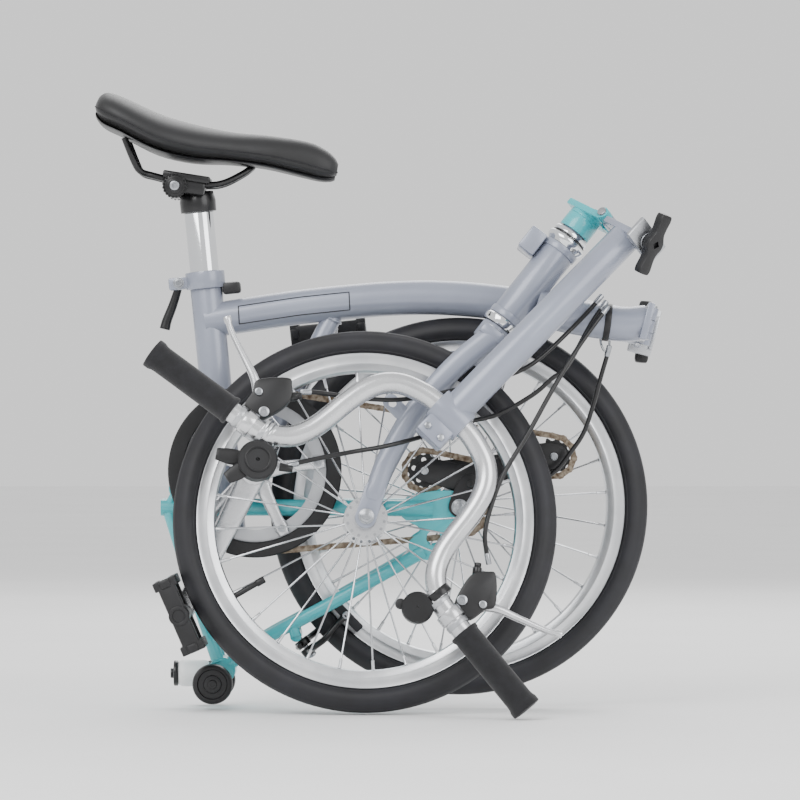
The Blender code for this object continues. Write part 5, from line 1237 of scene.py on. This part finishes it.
def add_controls():
    for side, name in ((1, "left"), (-1, "right")):
        outward = bar_outward(side)
        ring_at = on_stem(side * 0.1480, bar_height(0.1480))
        flat = Matrix((LEFT * side, STEER_AXIS, LEFT.cross(STEER_AXIS) * side)).transposed()
        body = [(0.1330, 0.3940), (0.1440, 0.3770), (0.1530, 0.3750), (0.1740, 0.3985), (0.1690, 0.4110),
                (0.1640, 0.4290), (0.1430, 0.4290)]
        smoothed = [tuple(p)[:2] for p in through([(x, z, 0) for x, z in body], 5, True)]
        fork_gap = block((0.060, 0.0080, 0.046), on_stem(side * 0.1870, 0.3990, 0.010),
                         Matrix((LEFT, STEER_FORWARD, LEFT.cross(STEER_FORWARD))).transposed(), 0)
        shell = plate(smoothed, 0.0160, STEM_BASE + STEER_FORWARD * 0.0100, flat, 0.0026)
        cut(shell, rod(ring_at - outward * 0.02, ring_at + outward * 0.02, BAR_RADIUS + 0.0004, edge=0))
        cut(shell, fork_gap)
        band = ring(BAR_RADIUS + 0.0003, 0.0140, -0.0060, 0.0060, ring_at, outward, 48, 0.0010)
        piece("brake_bracket_" + name, [shell], "black_plastic", STEM, "stem_and_bar", ["brake_body_" + name])
        piece("bracket_clamp_" + name, [band], "polished_aluminium", STEM, "stem_and_bar")
        pivot = on_stem(side * 0.1640, 0.4080, 0.010)
        barrel_at = on_stem(side * 0.1360, 0.3860, 0.010)
        way = (on_stem(side * 0.1300, 0.3780, 0.010) - barrel_at).normalized()
        barrel = [rod(barrel_at - way * 0.002, barrel_at + way * 0.006, 0.0050, sides=28),
                  rod(barrel_at + way * 0.006, barrel_at + way * 0.011, 0.0038, sides=28)]
        piece("barrel_adjuster_" + name, barrel, "black_metal", STEM, "stem_and_bar")
        screws = [socket_screw(on_stem(side * 0.1450, 0.4200, 0.0178), STEER_FORWARD, 0.0056, 0.0024),
                  socket_screw(on_stem(side * 0.1450, 0.4200, 0.0022), -STEER_FORWARD, 0.0056, 0.0024),
                  socket_screw(pivot + STEER_FORWARD * 0.0078, STEER_FORWARD, 0.0042, 0.0020),
                  socket_screw(pivot - STEER_FORWARD * 0.0078, -STEER_FORWARD, 0.0042, 0.0020)]
        piece("brake_bracket_screws_" + name, screws, "zinc_steel", STEM, "stem_and_bar")
        blade = [pivot, on_stem(side * 0.1790, 0.3985, 0.010), on_stem(side * 0.2000, 0.3905, 0.012),
                 on_stem(side * 0.2300, 0.3790, 0.014), on_stem(side * 0.2460, 0.3700, 0.014)]
        path = through(blade, 6)
        rings = []
        for i, place in enumerate(path):
            along = path[min(i + 1, len(path) - 1)] - path[max(i - 1, 0)]
            share = i / (len(path) - 1)
            wide = 0.0058 - 0.0030 * share ** 0.8 + 0.0012 * (share > 0.90)
            rings.append(oval_ring(place, along, STEER_FORWARD, 0.0034, wide, 20))
        lever = [soften(loft(rings), 0.0006),
                 rod(pivot - STEER_FORWARD * 0.0075, pivot + STEER_FORWARD * 0.0075, 0.0027),
                 rod(pivot - STEER_FORWARD * 0.0036, pivot + STEER_FORWARD * 0.0036, 0.0056)]
        piece("lever_blade_" + name, lever, "polished_aluminium", STEM, name + "_lever", ["brake_lever_" + name])
        for k, place in enumerate((0.1590, 0.1300)):
            spot = on_stem(side * place, bar_height(place))
            band = ring(BAR_RADIUS + 0.0002, 0.0128, -0.0028, 0.0028, spot, outward, 48, 0.0004)
            piece("bar_band_%s_%d" % (name, k + 1), [band], "brushed_aluminium", STEM, "stem_and_bar")


def add_shifter():
    gear = on_stem(-0.1130, 0.4640)
    clamp_at = on_stem(-0.1260, 0.4342)
    drum = lathe([(0.0020, -0.0100), (0.0195, -0.0100), (0.0212, -0.0080), (0.0212, 0.0070), (0.0200, 0.0100),
                  (0.0150, 0.0120), (0.0020, 0.0120)], gear, STEER_FORWARD, 56)
    shapes = [drum]
    clear = swept(bar_route(), BAR_RADIUS + 0.0006, 32)
    cut(drum, clear)
    piece("shifter_drum", shapes, "black_plastic", STEM, "stem_and_bar", ["shifter"])
    band = [ring(BAR_RADIUS + 0.0003, 0.0138, low, low + 0.0036, clamp_at, bar_outward(-1), 48, 0.0006)
            for low in (-0.0060, -0.0012, 0.0036)]
    piece("shifter_clamp", band, "polished_aluminium", STEM, "stem_and_bar")
    face = [ring(0.0120, 0.0140, 0.0116, 0.0128, gear, STEER_FORWARD, 48, 0.0003),
            ring(0.0120, 0.0140, -0.0112, -0.0098, gear, STEER_FORWARD, 48, 0.0003)]
    piece("shifter_trim", face, "black_metal", STEM, "stem_and_bar")
    paddles = []
    for tip, forward in ((on_stem(-0.1500, 0.4880), 0.004), (on_stem(-0.1230, 0.5010), -0.003)):
        path = through([gear + STEER_FORWARD * forward, gear.lerp(tip, 0.55) + STEER_FORWARD * forward,
                        tip + STEER_FORWARD * forward], 5)
        rings = []
        for i, place in enumerate(path):
            along = path[min(i + 1, len(path) - 1)] - path[max(i - 1, 0)]
            share = i / (len(path) - 1)
            rings.append(oval_ring(place, along, STEER_FORWARD, 0.0024, 0.0060 + 0.0030 * math.sin(3.0 * share), 20))
        paddles.append(soften(loft(rings), 0.0010))
    piece("shifter_paddles", paddles, "black_plastic", STEM, "stem_and_bar")
    outlet = on_stem(-0.0920, 0.4520)
    piece("shifter_outlet", [rod(outlet, on_stem(-0.0800, 0.4440), 0.0046, 0.0036, 28)], "black_metal", STEM,
          "stem_and_bar")


def add_bell():
    spot = on_stem(0.1230, 0.4330)
    middle = on_stem(0.1170, 0.4600)
    dome = lathe([(0.0010, -0.0080), (0.0150, -0.0080), (0.0170, -0.0060), (0.0170, 0.0010), (0.0160, 0.0060),
                  (0.0120, 0.0105), (0.0060, 0.0128), (0.0010, 0.0134)], middle, STEER_FORWARD, 56)
    band = ring(BAR_RADIUS + 0.0003, 0.0142, -0.0045, 0.0045, spot, bar_outward(1), 48, 0.0006)
    neck = block((0.012, 0.008, 0.012), spot.lerp(middle, 0.50), frame_of(STEER_FORWARD, LEFT), 0.0015)
    piece("bell", [dome, band, neck], "black_metal", STEM, "stem_and_bar")
    striker = rod(on_stem(0.1010, 0.4690, -0.004), on_stem(0.1010, 0.4690, 0.004), 0.0055, sides=28, edge=0.0012)
    piece("bell_striker", [striker], "black_plastic", STEM, "stem_and_bar")


# ---------------------------------------------------------------- cables, drawn as they lie folded

CABLE_ROUTES = {
    "brake_cable_right": [(-0.1060, -0.1716, 0.3460), (-0.0872, -0.1700, 0.3452), (-0.0638, -0.1650, 0.3420),
                          (-0.0350, -0.1580, 0.3385), (0.0043, -0.1480, 0.3381), (0.0578, -0.1330, 0.3477),
                          (0.1020, -0.1300, 0.3596), (0.1302, -0.1240, 0.3693), (0.1529, -0.1160, 0.3844),
                          (0.1832, -0.0980, 0.4124), (0.2060, -0.0920, 0.4362), (0.2180, -0.0880, 0.4503)],
    "shift_cable": [(-0.1190, -0.1903, 0.2671), (-0.1007, -0.1880, 0.2724), (-0.0530, -0.1830, 0.2818),
                    (-0.0159, -0.1680, 0.2881), (0.0256, -0.1490, 0.2987), (0.0716, -0.1390, 0.3135),
                    (0.1050, -0.1360, 0.3220), (0.1417, -0.1290, 0.3424), (0.1634, -0.1220, 0.3606),
                    (0.1796, -0.1150, 0.3736), (0.2047, -0.1030, 0.4178), (0.2225, -0.0950, 0.4438)],
    "brake_cable_left": [(0.0942, -0.1922, 0.1630), (0.0913, -0.1920, 0.1782), (0.0900, -0.1910, 0.1951),
                         (0.0954, -0.1860, 0.2204), (0.1095, -0.1760, 0.2573), (0.1366, -0.1620, 0.3018),
                         (0.1595, -0.1480, 0.3424), (0.1847, -0.1310, 0.3842), (0.2060, -0.1140, 0.4145),
                         (0.2240, -0.1010, 0.4383)],
    "rear_cable": [(0.2257, -0.0980, 0.3959), (0.2224, -0.0960, 0.3828), (0.2168, -0.0920, 0.3631),
                   (0.2068, -0.0860, 0.3261), (0.1979, -0.0800, 0.3011), (0.1844, -0.0740, 0.2806),
                   (0.1690, -0.0700, 0.2612), (0.1429, -0.0690, 0.2439)],
}


def add_cables():
    for name, points in CABLE_ROUTES.items():
        ends = ["frame", "frame"] if name == "rear_cable" else ["stem_and_bar", "steerer"]
        bend = None if name == "rear_cable" else ("stem_and_bar", PACKAGE @ Vector(points[-1]),
                                                  PACKAGE @ Vector(points[0]))
        piece(name + "_sleeve", [swept(through(points, 6), 0.0025, 20)], "cable_housing", PACKAGE, ends[1], [name],
              bend=bend)
        for k, (end, inner) in enumerate(((points[0], points[1]), (points[-1], points[-2]))):
            end, inner = Vector(end), Vector(inner)
            way = (inner - end).normalized()
            piece("%s_ferrule_%d" % (name, k + 1), [rod(end, end + way * 0.012, 0.0030, sides=24)], "zinc_steel",
                  PACKAGE, ends[k])


add_world()
add_floor()
add_camera()
add_light("key", (-1.6, -2.6, 2.6), 2.2, 90)
add_light("fill", (2.2, -2.2, 1.6), 2.0, 45)
add_light("back", (0.6, 2.6, 2.4), 2.4, 60)

add_main_frame()
add_seat_clamp()
add_clamps()
add_saddle()
add_seat_post()
add_crank_set()
add_chain()
add_wheel("rear", REAR, "rear_wheel", REAR_HUB, 0.0540, 0.0260, 0.0150, 0.22)
add_wheel("front", FORK, "front_wheel", FRONT_HUB, 0.0370, 0.0235, 0.0120, 0.0)
add_brake("rear", REAR, *REAR_BRAKE)
add_brake("front", FORK, *FRONT_BRAKE)
add_rear_frame()
add_suspension()
add_rollers()
add_tensioner()
add_front_frame()
add_fork()
add_stem()
add_handlebar()
add_controls()
add_shifter()
add_bell()
add_cables()
